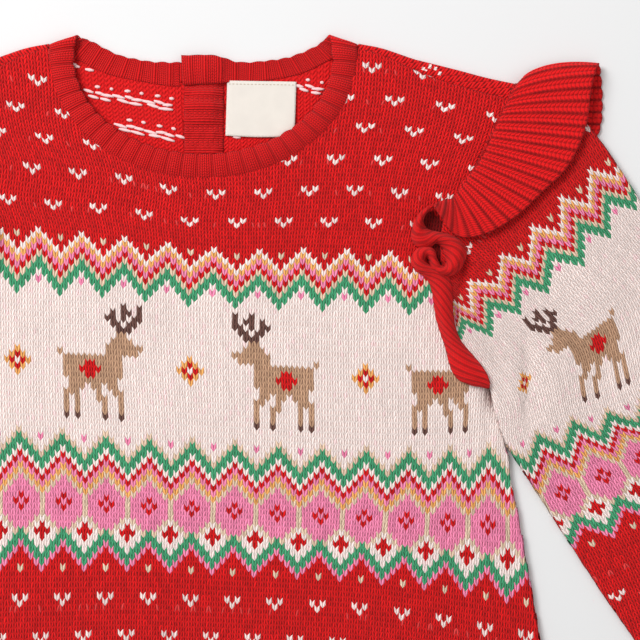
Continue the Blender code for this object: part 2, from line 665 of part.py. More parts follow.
def frills():
    curve = frill_sections()
    where = (travelled(curve[:, :3]) + travelled(curve[:, 3:6])) / 2
    columns = FRILL_RIBS * 2 + 1
    section = pick(curve, where, np.linspace(0.0, 1.0, columns))
    seam, edge = section[:, :3], section[:, 3:6]
    shares = np.array([0.0, 0.3, 0.65, 1.0])
    patch = []
    for share in shares:
        bow = 4.0 * share * (1.0 - share)
        points = seam + (edge - seam) * share
        points[:, 1] += section[:, 6] * bow
        points[:, 2] += section[:, 7] * bow
        patch.append(points)
    patch = np.array(patch)
    at_front = ease((section[:, 2] - 4.0) / 2.0)
    raised = ribs(columns, FRILL_RIB_HEIGHT)
    strength = np.array([0.5, 1.0, 1.0, 1.0])
    outside = [raised * at_front * s for s in strength]
    patch, outside = patch[::-1], outside[::-1]
    wall("ruffle_right", [patch], FRILL, RED, outside=[outside])
    wall("ruffle_left", [mirrored(patch)], FRILL, RED, outside=[[row[::-1] for row in outside]])


def main():
    for old in list(bpy.data.objects):
        bpy.data.objects.remove(old)
    body_front()
    body_back()
    hems()
    sleeves()
    neckband()
    plackets()
    buttons()
    label()
    frills()


main()
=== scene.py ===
import math

import bmesh
import bpy
import numpy as np
from mathutils import Matrix, Vector
from mathutils.bvhtree import BVHTree


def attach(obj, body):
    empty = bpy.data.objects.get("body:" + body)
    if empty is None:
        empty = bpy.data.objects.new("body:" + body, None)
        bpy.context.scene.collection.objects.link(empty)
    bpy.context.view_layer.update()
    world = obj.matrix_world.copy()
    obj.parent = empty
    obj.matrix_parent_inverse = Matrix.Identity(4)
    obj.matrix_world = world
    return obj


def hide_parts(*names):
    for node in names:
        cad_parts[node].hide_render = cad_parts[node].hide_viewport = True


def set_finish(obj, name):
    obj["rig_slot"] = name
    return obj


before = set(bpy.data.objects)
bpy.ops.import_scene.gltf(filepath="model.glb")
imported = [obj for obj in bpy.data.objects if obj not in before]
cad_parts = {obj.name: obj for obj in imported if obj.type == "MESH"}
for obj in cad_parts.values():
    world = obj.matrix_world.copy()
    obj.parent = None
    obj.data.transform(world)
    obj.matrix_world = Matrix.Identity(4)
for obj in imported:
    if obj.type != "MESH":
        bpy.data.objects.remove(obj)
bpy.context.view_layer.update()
mm = 0.001
luck = np.random.default_rng(11)

# Sizes below are in millimetres: x across the dress from its centre front, y up to the neck, z off the table.
# Places read from the photograph are in its pixels, and fromPhoto turns them into millimetres.
photo = {"pixelsPerMm": 1.95, "centreX": 204.0, "zeroY": 526.0}


def fromPhoto(x, y):
    scale = photo["pixelsPerMm"]
    return (np.asarray(x) - photo["centreX"]) / scale, (photo["zeroY"] - np.asarray(y)) / scale


# curves


def weights(knots, at):
    # shares of each knot in a smooth curve through them, which runs on straight beyond its ends
    knots, at = np.asarray(knots, float), np.asarray(at, float)
    values = np.eye(len(knots))
    slopes = np.gradient(values, knots, axis=0)
    held = np.clip(at, knots[0], knots[-1])
    i = np.clip(np.searchsorted(knots, held, side="right") - 1, 0, len(knots) - 2)
    span = (knots[i + 1] - knots[i])[..., None]
    t = (held - knots[i])[..., None] / span
    near, far = values[i], values[i + 1]
    curve = near * (2 * t**3 - 3 * t**2 + 1) + far * (3 * t**2 - 2 * t**3)
    curve += slopes[i] * span * (t**3 - 2 * t**2 + t) + slopes[i + 1] * span * (t**3 - t**2)
    end = np.where(at < knots[0], 0, len(knots) - 1)
    return curve + slopes[end] * (at - held)[..., None]


def through(knots, values, at):
    return weights(knots, at) @ np.asarray(values, float)


def smoothLine(points, steps=12):
    knots = np.array(points, float)
    return through(np.arange(len(knots)), knots, np.linspace(0, len(knots) - 1, steps * (len(knots) - 1) + 1))


def travelled(line):
    steps = np.linalg.norm(np.diff(line, axis=0), axis=1)
    length = np.concatenate([[0.0], np.cumsum(steps)])
    return length / length[-1]


def sample(line, where, at):
    return np.stack([np.interp(at, where, column) for column in line.T], axis=-1)


def alongLine(points, at):
    line = smoothLine(points)
    return sample(line, travelled(line), np.asarray(at, float))


def ease(t):
    t = np.clip(t, 0.0, 1.0)
    return t * t * (3 - 2 * t)


def flip(points):
    return np.asarray(points, float) * (-1, 1)


def shoelace(outline):
    x, y = np.asarray(outline, float).T
    return abs(np.dot(x, np.roll(y, 1)) - np.dot(y, np.roll(x, 1))) / 2


def isInside(outline, x, y):
    inside = np.zeros(x.shape, bool)
    for (ax, ay), (bx, by) in zip(outline, np.roll(outline, -1, axis=0)):
        crossing = (ay > y) != (by > y)
        at = ax + (y - ay) * (bx - ax) / (by - ay if by != ay else 1.0)
        inside ^= crossing & (x < at)
    return inside


def nearestOn(line, x, y, closed=True):
    # the nearest place on a line, and how far it is
    points = np.stack([x, y], axis=-1)
    best, place = np.full(len(points), np.inf), points.copy()
    ends = np.roll(line, -1, axis=0) if closed else line[1:]
    for a, b in zip(np.asarray(line), ends):
        run = b - a
        share = np.clip((points - a) @ run / max(run @ run, 1e-9), 0, 1)[:, None]
        spot = a + run * share
        away = np.linalg.norm(points - spot, axis=1)
        better = away < best
        best, place = np.where(better, away, best), np.where(better[:, None], spot, place)
    return place, best


# outlines of the pattern pieces

cut = {
    "hemY": -250.6, "hemHeight": 15.0, "neckY": 240.0, "neckHalf": 66.5, "neckDepth": 50.3,
    "bandWidth": 12.0, "gap": 0.3,
    "side": [
        (206, -250.6), (168.5, -39.5), (161.5, 0.5), (155.4, 31), (152, 45.6), (149.4, 55), (147.4, 62.6),
        (146, 72),
    ],
    "armhole": [
        (146, 72), (138.5, 85), (128, 105), (124.1, 125), (123.4, 150),
        (128.7, 167.2), (142.6, 187.7), (151.6, 208), (160.5, 226),
    ],
    "shoulder": [
        (79.2, 247), (91.3, 244.6), (106.7, 239.4), (112.8, 237.8), (130.3, 233.4), (145.5, 229.4), (162.6, 225.8),
    ],
    "shoulderSeam": [
        (79.2, 243.6), (92, 240), (106, 233.2), (120, 227.6), (134, 223.3), (147, 220), (159, 216.8),
    ],
    "backNeckRight": [(10.0, 227.2), (28.7, 227.2), (49.2, 230.8), (64.6, 238.4), (79.2, 245.7)],
    "backNeckLeft": [(10.0, 227.8), (13.5, 226.4), (28.7, 226.6), (49.2, 230.8), (64.6, 238.4), (79.2, 245.7)],
    "slitHalf": 10.0, "slitEnd": 191.0,
    "turnY": 25.0,  # above it the front's side runs on under the fold
}
# how far each edge runs on under what is sewn over it; the sleeve's is at its foot, and how much more above that
tucks = {"side": 1.04, "arm": 0.26, "seam": 0.78, "neck": 1.3, "backArm": 0.91, "slit": 0.65, "sleeve": (0.78, 1.3)}
wrap = {
    "radius": 1.3, "wall": 1.7, "frontZ": 3.45, "backZ": 0.85, "rise": 0.45, "blend": 0.14, "columns": 58,
    "rings": 14, "turned": 0.55, "dip": 0.9, "dipFrom": 0.6, "column": 4.0, "slant": 0.22, "row": 3.2,
    "seedSize": 0.95,
    "seeds": [(423.5, 70.5), (428.5, 67.5), (434.5, 70.0), (438.5, 74.5)],  # white stitches on it, in pixels
}
armhole, sideLine = smoothLine(cut["armhole"]), smoothLine(cut["side"])
hemTop = cut["hemY"] + cut["hemHeight"] + cut["gap"] / 2


def sideAt(y):
    return np.interp(y, sideLine[:, 1], sideLine[:, 0])


def frontHalf():
    side = sideEdge + np.outer(ease((sideEdge[:, 1] - cut["turnY"]) / 10), (tucks["side"], 0))
    arm = armhole[armhole[:, 1] < cut["shoulderSeam"][-1][1]] + (tucks["arm"], 0)
    seam = smoothLine(cut["shoulderSeam"])[::-1] + (0, tucks["seam"])
    half, depth = (cut[k] + cut["bandWidth"] - tucks["neck"] for k in ("neckHalf", "neckDepth"))
    turn = np.linspace(math.pi / 2, 0, 40)
    neck = np.column_stack([half * np.sin(turn), cut["neckY"] - depth * np.cos(turn)])
    return np.vstack([side, arm[1:], seam, neck])


def backHalf(neck):
    arm = armhole[armhole[:, 1] < armhole[-1, 1] - 1.0] + (tucks["backArm"], 0)
    top = smoothLine(cut["shoulder"])[::-1] - (0, wrap["radius"] + wrap["wall"] / 2)
    line = smoothLine(neck)[::-1] + (0, tucks["neck"])
    line[-1, 0] = cut["slitHalf"] - tucks["slit"]
    return np.vstack([sideEdge, arm[1:], top, line, (line[-1, 0], cut["slitEnd"])])


sideEdge = np.vstack([(sideAt(hemTop), hemTop), sideLine[sideLine[:, 1] > hemTop]])
rightHalf = frontHalf()
frontOutline = np.vstack([rightHalf, flip(rightHalf)[::-1]])
backOutline = np.vstack([backHalf(cut["backNeckRight"]), flip(backHalf(cut["backNeckLeft"]))[::-1]])

# materials


class Value:  # a socket that can stand in a sum
    def __init__(self, paint, socket):
        self.paint, self.socket = paint, socket

    def math(self, operation, *others, before=()):
        return self.paint.add("ShaderNodeMath", {"operation": operation}, [*before, self, *others])

    def __add__(self, other):
        return self.math("ADD", other)

    def __mul__(self, other):
        return self.math("MULTIPLY", other)

    def __sub__(self, other):
        return self.math("SUBTRACT", other)

    def __rsub__(self, other):
        return self.math("SUBTRACT", before=[other])

    def __pow__(self, other):
        return self.math("POWER", other)

    def __lt__(self, other):
        return self.math("LESS_THAN", other)

    __radd__, __rmul__ = __add__, __mul__

    def smooth(self, low, high, start=0.0, end=1.0):
        kind = {"interpolation_type": "SMOOTHSTEP"}
        return self.paint.add("ShaderNodeMapRange", kind, {0: self, 1: low, 2: high, 3: start, 4: end})

    def wave(self, turns=1.0):
        return (self * (turns * math.tau)).math("COSINE")


class Paint:  # a material, and the nodes that are added to it
    def __init__(self, name, roughness=0.95, sheen=0.04):
        self.material = bpy.data.materials.new(name)
        self.material.use_nodes = True
        self.tree = self.material.node_tree
        self.shader = self.tree.nodes["Principled BSDF"]
        self.set("Roughness", roughness)
        self.set("Sheen Weight", sheen)
        self.set("Sheen Roughness", 0.5)
        self.set("Specular IOR Level", 0.25)

    def feed(self, target, value):
        if isinstance(value, Value):
            self.tree.links.new(value.socket, target)
        else:
            target.default_value = (*value, 1) if target.type == "RGBA" and len(value) == 3 else value

    def set(self, name, value):
        self.feed(self.shader.inputs[name], value)

    def add(self, kind, settings, inputs, output=0):
        node = self.tree.nodes.new(kind)
        for key, value in settings.items():
            setattr(node, key, value)
        for key, value in inputs.items() if isinstance(inputs, dict) else enumerate(inputs):
            self.feed(node.inputs[key], value)
        return Value(self, node.outputs[output])

    def vector(self, operation, inputs, output=0):
        return self.add("ShaderNodeVectorMath", {"operation": operation}, inputs, output)

    def scaled(self, colour, amount):
        return self.vector("SCALE", {0: colour, 3: amount})

    def noise(self, size, detail=2.0, roughness=0.5):
        place = self.add("ShaderNodeTexCoord", {}, [], "Object")
        inputs = {"Vector": place, "Scale": 1.0 / (size * mm), "Detail": detail, "Roughness": roughness}
        return self.add("ShaderNodeTexNoise", {}, inputs, "Fac")

    def loops(self):  # the stitch column and the row at a place
        net = self.add("ShaderNodeUVMap", {"uv_map": "loops"}, [])
        return [self.add("ShaderNodeSeparateXYZ", {}, [net], k) for k in (0, 1)]

    def finish(self, colour, height, depth):
        self.set("Base Color", colour)
        self.set("Normal", self.add("ShaderNodeBump", {}, {"Distance": depth * mm, "Height": height}))
        return self.material


def linear(red, green, blue):  # a colour as a screen gives it, 0 to 255
    return tuple(((c / 255 + 0.055) / 1.055) ** 2.4 for c in (red, green, blue))


yarns = {
    "r": linear(218, 20, 22),
    "w": linear(251, 233, 227),
    "s": linear(250, 222, 218),
    "n": linear(72, 162, 116),
    "p": linear(251, 141, 180),
    "g": linear(248, 176, 100),
    "b": linear(232, 203, 176),
    "t": linear(196, 154, 124),
    "o": linear(110, 76, 68),
}

# where a leg of a knit stitch runs in its half of the stitch, and how far it sinks at its ends
leg = {"start": 0.34, "slant": 0.32, "half": 0.43, "dip": 0.6}


def plainStitch(u, v):  # how high the yarn stands in a knit stitch, 0 to 1
    side, down = u.math("PINGPONG", 0.5) * 2.0, v.math("FRACT")
    off = (side - leg["start"] - down * leg["slant"]) * (1 / leg["half"])
    arch = (1.0 - off * off).math("MAXIMUM", 0.0).math("SQRT")
    return arch * (1.0 - (down * 2.0 - 1.0) ** 4.0 * leg["dip"])


def purlStitch(u, v):  # the same on the wrong side: wavy bars
    bar = (v + u.wave() * 0.1).wave() * 0.5 + 0.5
    return bar ** 0.7 * (u.wave(2) * 0.3 + 0.7)


# the yarn's fuzz, its clouds of tone, and the painted shade between its stitches
wool = {
    "fuzz": (0.5, 3.0, 0.75),  # size in millimetres, detail and roughness
    "cloud": 24.0,
    "paleness": (0.0, 0.35, 0.2),  # how much a yarn's green and blue lighten the painted shade between its stitches
    "gap": 0.28,  # brightness that the painted shade between the stitches leaves, where the yarn isn't pale
    # the tint of the painted shade between the stitches
    "paintedShadeTint": (1.12, 0.99, 0.95),
    "top": 0.65,  # height from which a stitch has its full colour, free of painted shade
    "fuzzTone": (0.7, 0.76),  # how much each noise counts, and the tone where it is nothing
    "cloudTone": (0.14, 0.93),
}


def spun(paint, colour, height, low=0.0, depth=0.7, hairy=0.4, light=None):
    # the yarn's colour with painted shade between the stitches, less of it where the yarn is pale, and uneven as
    # spun yarn is; light, where given, scales in more painted shade
    fuzz, cloud = paint.noise(*wool["fuzz"]), paint.noise(wool["cloud"])
    # painted shade between the stitches: the yarn's colour, dimmed and tinted, where a stitch stands low
    gap = paint.vector("DOT_PRODUCT", [colour, wool["paleness"]], "Value") + wool["gap"]
    deep = paint.vector("MULTIPLY", [paint.scaled(colour, gap), wool["paintedShadeTint"]])
    full = height.smooth(low, wool["top"])
    shade = paint.add("ShaderNodeMix", {"data_type": "RGBA"}, {0: full, 6: deep, 7: colour}, 2)
    for noise, (strength, base) in ((fuzz, wool["fuzzTone"]), (cloud, wool["cloudTone"])):
        shade = paint.scaled(shade, noise * strength + base)
    return paint.finish(paint.scaled(shade, light) if light else shade, height + fuzz * hairy, depth)


def knitFace(name):
    paint = Paint(name)
    yarn = paint.add("ShaderNodeAttribute", {"attribute_name": "yarn"}, [], "Color")
    return spun(paint, yarn, plainStitch(*paint.loops()))


def knitInside(name):
    paint = Paint(name)
    return spun(paint, yarns["r"], purlStitch(*paint.loops()), low=-0.9, hairy=0.5)


# as many knit columns on a rib's ridge as purl ones in its valley. share is the ridge's part of the rib, purl how
# high the purl stands; the valley gets painted shade of the given strength, reaching up to edge, a cosine
ribs = {
    "frillRib": {"columns": 1, "share": 0.82, "purl": 0.8, "paintedShade": 0.5, "edge": -0.75, "low": -0.5, "depth": 0.6},
    "curlRib": {"columns": 1, "share": 0.75, "purl": 0.9, "paintedShade": 0.3, "edge": 0.2, "low": -1.2, "depth": 0.35},
    "endRib": {"columns": 2, "share": 0.55, "purl": 0.5, "paintedShade": 0.34, "edge": -0.3, "low": -0.5, "depth": 0.6},
}


def ribFace(name):
    paint, rib = Paint(name), ribs[name]
    columns, share = rib["columns"], rib["share"]
    u, v = paint.loops()
    place = (u + share / 2).math("FRACT")
    isKnit = place < share
    knit = plainStitch(place * (columns / share), v)
    purl = purlStitch((place - share) * (columns / (1 - share)), v)
    height = purl * (1.0 - isKnit) * rib["purl"] + knit * isKnit
    # painted shade in the rib's valleys, uneven by noise, scaled into the yarn's colour
    paintedShade = u.wave().smooth(-1.0, rib["edge"], rib["paintedShade"], 0.0) * (paint.noise(9.0) * 1.2 + 0.4)
    return spun(paint, yarns["r"], height, rib["low"], rib["depth"], light=1.0 - paintedShade)


def bandFace(name, share, columns=2, lines=3):
    # knit columns, then a group of narrow ribs that shows as fine lines; share is the columns' part
    paint = Paint(name)
    u, v = paint.loops()
    place = (u + share / 2).math("FRACT")
    isPlain = place < share
    comb = (place - share).wave(lines / (1 - share)) * -0.5 + 0.5
    narrow = comb * (0.85 + 0.15 * v.wave())
    height = plainStitch(place * (columns / share), v) * isPlain + narrow * (1.0 - isPlain)
    return spun(paint, yarns["r"], height, -0.3)


def tapeFace(name, colour):  # woven tape of the label, fine threads both ways
    paint = Paint(name, 0.7, 0.1)
    warp, weft = ((way * math.tau).math("SINE") * 0.5 + 0.5 for way in paint.loops())
    weave = warp * 0.6 + weft * 0.4
    # painted shade, slightly darker between the threads, and a little uneven by noise
    weaveShadeAndTone = weave.smooth(0.0, 1.0, 0.9, 1.0) * (paint.noise(8.0) * 0.1 + 0.95)
    return paint.finish(paint.scaled(colour, weaveShadeAndTone), weave, 0.12)


def threadFace(name, colour):
    paint = Paint(name, 0.8, 0.15)
    twist = paint.noise(0.4)
    return paint.finish(paint.scaled(colour, twist * 0.5 + 0.75), twist, 0.15)


def buttonFace(name, colour):
    paint = Paint(name, 0.3, 0.0)
    paint.set("Roughness", paint.noise(0.8) * 0.2 + 0.22)
    return paint.finish(paint.scaled(colour, paint.noise(3.0, 3.0) * 0.3 + 0.85), paint.noise(0.6), 0.05)


knitFaces = [knitFace("knitFace"), knitInside("knitInside")]
bandRib, laidRib = bandFace("bandRib", 0.54), bandFace("laidRib", 0.5)
frillRib, curlRib, endRib = (ribFace(name) for name in ribs)
print("materials ready")

# nets of stitches


def meshOf(name, bm):
    mesh = bpy.data.meshes.new(name)
    bm.to_mesh(mesh)
    bm.free()
    return mesh


def addToScene(name, data):  # puts a mesh, a light or the camera in the scene
    thing = bpy.data.objects.new(name, data)
    bpy.context.scene.collection.objects.link(thing)
    return thing


def flatNet(columns, rows):
    # a bmesh of columns x rows faces whose points know their numbers, and the column and row of each point
    bm = bmesh.new()
    bmesh.ops.create_grid(bm, x_segments=columns, y_segments=rows, size=1.0)
    number = bm.verts.layers.int.new("net")
    for vert in bm.verts:
        column, row = (vert.co.x + 1) / 2 * columns, (vert.co.y + 1) / 2 * rows
        vert[number] = round(row) * (columns + 1) + round(column)
    a, b = np.meshgrid(np.arange(columns + 1), np.arange(rows + 1))
    return bm, a, b


def meshFrom(name, bm, points, places, colours=None, upward=True):
    # the net's mesh with its points x y z, stitch places u v and yarns put in; all of them go by net number
    points, places = (np.stack(list(values), axis=-1).reshape(-1, len(values)) for values in (points, places))
    mesh = meshOf(name, bm)
    number = np.zeros(len(mesh.vertices), np.int32)
    mesh.attributes["net"].data.foreach_get("value", number)
    mesh.attributes.remove(mesh.attributes["net"])
    mesh.vertices.foreach_set("co", (points[number] * mm).astype(np.float32).ravel())
    corners = np.zeros(len(mesh.loops), np.int32)
    mesh.loops.foreach_get("vertex_index", corners)
    uvs = places[number][corners]
    mesh.uv_layers.new(name="loops").data.foreach_set("uv", uvs.astype(np.float32).ravel())
    if colours is not None:
        shades = np.repeat(colours(*uvs.reshape(-1, 4, 2).mean(1).T), 4, axis=0)
        shades = np.column_stack([shades, np.ones(len(shades))])
        yarn = mesh.color_attributes.new("yarn", "FLOAT_COLOR", "CORNER")
        yarn.data.foreach_set("color", shades.astype(np.float32).ravel())
    if not upward:
        mesh.flip_normals()
    mesh.update()
    return mesh


def welded(mesh, *others, weld=0.02):  # one mesh of them all, without doubled points
    bm = bmesh.new()
    for part in (mesh, *others):
        bm.from_mesh(part)
    bmesh.ops.remove_doubles(bm, verts=bm.verts, dist=weld * mm)
    bmesh.ops.dissolve_degenerate(bm, edges=bm.edges, dist=0.01 * mm)
    bm.to_mesh(mesh)
    bm.free()
    return mesh


def addPiece(mesh, slotName, faces, nodes=(), wall=0.0):
    # a knit wall's second face is its inside
    points = np.zeros(len(mesh.vertices) * 3, np.float32)
    mesh.vertices.foreach_get("co", points)
    points[2::3] = np.maximum(points[2::3], (wall / 2 + 0.05) * mm)  # nothing goes into the table
    mesh.vertices.foreach_set("co", points)
    mesh.shade_smooth()
    for face in faces:
        mesh.materials.append(face)
    piece = addToScene(mesh.name, mesh)
    if wall:
        shell = piece.modifiers.new("wall", "SOLIDIFY")
        shell.thickness = wall * mm
        shell.offset = 0.0
        shell.material_offset = 1 if faces is knitFaces else 0
    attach(piece, "root")
    if nodes:
        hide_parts(*nodes)
    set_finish(piece, slotName)
    return piece


def addPair(right, slotName, faces, node, wall):  # a right piece and its mirror image
    left = right.copy()
    left.name = right.name.replace("Right", "Left")
    left.transform(Matrix.Diagonal((-1, 1, 1, 1)))
    left.flip_normals()
    sides = ((right, "right"), (left, "left"))
    return [addPiece(mesh, slotName, faces, [f"{node}_{side}"] if node else [], wall) for mesh, side in sides]


class Wall:  # a CAD node, for the heights of its cloth
    def __init__(self, node):
        bm = bmesh.new()
        bm.from_mesh(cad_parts[node].data)
        self.tree = BVHTree.FromBMesh(bm)
        bm.free()

    def ends(self, x, y):  # the highest and lowest points that it has at a place, in metres
        return [self.tree.ray_cast(Vector((x, y, 0.1 * up)), Vector((0, 0, -up)))[0] for up in (1, -1)]

    def middle(self, x, y, reach=3):  # its mean height at each place, evened out
        heights = np.zeros(x.shape)
        for i, (px, py) in enumerate(zip(x.ravel() * mm, y.ravel() * mm)):
            top, low = self.ends(px, py)
            if top is None or low is None:  # beside it, so the height just inside its edge
                spot = self.tree.find_nearest(Vector((px, py, 0.0)))[0]
                near = Vector((spot.x, spot.y, 0.0)) + Vector((spot.x - px, spot.y - py, 0.0)) * 0.02
                top, low = (end or spot for end in self.ends(near.x, near.y))
            heights.flat[i] = (top.z + low.z) / 2 / mm
        return soften(heights, reach)


def soften(field, reach):  # evens out a table of heights, twice each way
    span = 2 * reach + 1
    for _ in range(4):
        sums = np.cumsum(np.pad(field, ((0, 0), (reach, reach)), mode="edge"), axis=1)
        sums = np.pad(sums, ((0, 0), (1, 0)))
        field = ((sums[:, span:] - sums[:, :-span]) / span).T
    return field


stitch = {"chevron": 0.29, "furrow": 0.13, "wander": 0.2, "uneven": 0.06}


def knitMesh(name, net, plan, height, outline, colours, upward=True):
    # a clipped net of knit stitches, two faces to a stitch
    bm, a, b = flatNet((net["right"] - net["left"]) * 2, net["bottom"] - net["top"])
    u, v = net["left"] + a / 2, (net["bottom"] - b).astype(float)
    middle = a % 2 == 1
    x, y = plan(u, v + np.where(middle, stitch["chevron"], -stitch["chevron"]))
    x = x + stitch["wander"] * np.sin(u * 1.7 + v * 0.9) * np.cos(v * 1.1 - u * 0.3)
    x, y = x + luck.normal(0, stitch["uneven"], x.shape), y + luck.normal(0, stitch["uneven"], x.shape)
    kept = isInside(outline, x, y)
    number = bm.verts.layers.int["net"]
    spare = [f for f in bm.faces if not any(kept.flat[vert[number]] for vert in f.verts)]
    bmesh.ops.delete(bm, geom=spare, context="FACES")
    spots, _ = nearestOn(outline, x[~kept], y[~kept])
    x[~kept], y[~kept] = spots.T
    z = height(x, y) + np.where(middle, 0.5, -0.5) * stitch["furrow"]
    z += luck.normal(0, stitch["uneven"], x.shape)
    return meshFrom(name, bm, (x, y, z), (u, v), colours, upward)


# the chart of the colourwork: column 0 runs through a deer, row 0 is the top white row of the upper zigzag
chart = {
    "upper": "wgprbnnw",  # by rows below the zigzag's top
    "lowerTop": 34,
    "lower": [  # the lower band, from row lowerTop, by distance from the column that the zigzag points at
        "wpwwbnnwrpgbbbbwrrrwwnnp",
        "wwwbnnwrpgbppppbwrwwnnpr",
        "wwbnnwrpgbppppppbwwnnprr",
        "wbnnwrpgbppprppppbnnprrr",
        "bnnwrpgbppprprpppnnprrrb",
    ],
    "diamond": ["..g..", ".grg.", "grwrg", ".grg.", "..g.."],
    "spots": [(4, 1, "b"), (0, 8, "p")],  # single stitches: how far from that column, row and yarn
    "diamondTop": 20, "diamondColumn": 22, "deerTop": 12,
    "deer": [
        "o..o............",
        "o.oo.o..........",
        "oo.o.oo.........",
        ".oo.oo..........",
        "..ooo...........",
        "...tt...........",
        "..tttt..........",
        "ttttttt.........",
        ".tttttt........t",
        "....ttttttttttt.",
        "....tttttrrtttt.",
        "....ttttrrrrttt.",
        "....tttttrrtttt.",
        ".....ttttttttt..",
        ".....tt.tt.ttt..",
        "....tt..t...ttt.",
        "....t..tt...t.t.",
        "....t..t....t.t.",
        "....t..t....t.t.",
        "....o..o....o.o.",
    ],
    "repeat": 8, "deerRepeat": 32, "deerColumn": -8,
    "seedsEvery": 7, "yokeSeeds": -6, "bodySeeds": 63, "sleeveSeeds": 70,
    "armholeSeed": (166.0, 215.0),  # none is seen nearer the top of the armhole, in millimetres
    "spread": {"r": 0.34, "w": 0.1},  # how uneven the tone of a yarn is
    "spreadElse": 0.26,
    "speck": (0.86, 0.05),  # above this chance a leg shows the yarn behind it, and how strongly
    "blush": (0.95, 0.16),
    "plainRows": (0, 60),  # above and below these the red has specks
}


def seeds(col, row, first, step):
    # three stitches in a small v, every few rows from the first one on, half dropped by turns
    every, repeat = chart["seedsEvery"], chart["repeat"]
    lineNow, lineAbove = (row - first) % every == 0, (row + 1 - first) % every == 0
    turn = np.where(lineNow, (row - first) // every, (row + 1 - first) // every) * step
    place = (col - repeat // 2 * (turn % 2)) % repeat
    started = (row - first) * step >= -1
    return started & ((lineNow & (place == 0)) | (lineAbove & ((place == 1) | (place == repeat - 1))))


def stamp(letters, lines, row, place):  # draws lines of yarn letters, dots left out
    for i, line in enumerate(lines):
        for k, yarn in enumerate(line):
            if yarn != ".":
                letters[(row == i) & (place == k)] = yarn


def chartLetters(col, row, firstSeeds):
    letters = np.full(col.shape, "r")
    away = np.abs(col % chart["repeat"] - chart["repeat"] // 2)
    step = np.clip(row - away, -1, len(chart["upper"]) - 1)
    stamp(letters, [chart["upper"]], 0 * step, step)
    for far, line, yarn in chart["spots"]:
        letters[(away == far) & (row == line)] = yarn
    wide = len(chart["deer"][0])
    turn, kind = np.divmod(col - chart["deerColumn"], chart["deerRepeat"])
    facing = np.where(kind >= wide, -1, np.where(turn % 2 == 0, kind, wide - 1 - kind))
    stamp(letters, chart["deer"], row - chart["deerTop"], facing)
    stamp(letters, chart["diamond"], row - chart["diamondTop"], kind - chart["diamondColumn"])
    stamp(letters, chart["lower"], away, row - chart["lowerTop"])
    letters[row >= chart["lowerTop"] + len(chart["lower"][0])] = "r"
    letters[seeds(col, row, chart["yokeSeeds"], -1) | seeds(col, row, firstSeeds, 1)] = "s"
    return letters


def chanceAt(u, v):  # a number from 0 to 1 for each leg of a stitch
    return np.abs(np.sin(np.floor(u * 2) * 39.346 + np.floor(v) * 11.135) * 24634.6345) % 1.0


def chartColours(u, v, firstSeeds=chart["bodySeeds"]):
    col, row = np.floor(u).astype(int), np.floor(v).astype(int)
    letters = chartLetters(col, row, firstSeeds)
    shades, spread = np.zeros((len(col), 3)), np.zeros(len(col))
    for letter, colour in yarns.items():
        shades[letters == letter] = colour
        spread[letters == letter] = chart["spread"].get(letter, chart["spreadElse"])
    # each leg of a stitch has its own tone, and a few show the yarn that floats behind them
    chance = chanceAt(u, v)
    shades *= (1 + spread * (chance - 0.5))[:, None]
    floatRow = (row - chart["yokeSeeds"]) % chart["seedsEvery"] == 0
    low, high = chart["plainRows"]
    speck = floatRow & (letters == "r") & ((row < low) | (row > high))
    for kind, where, yarn in (("speck", speck, "w"), ("blush", letters == "w", "p")):
        here = where & (chance > chart[kind][0])
        shades[here] += (np.array(yarns[yarn]) - shades[here]) * chart[kind][1]
    return shades


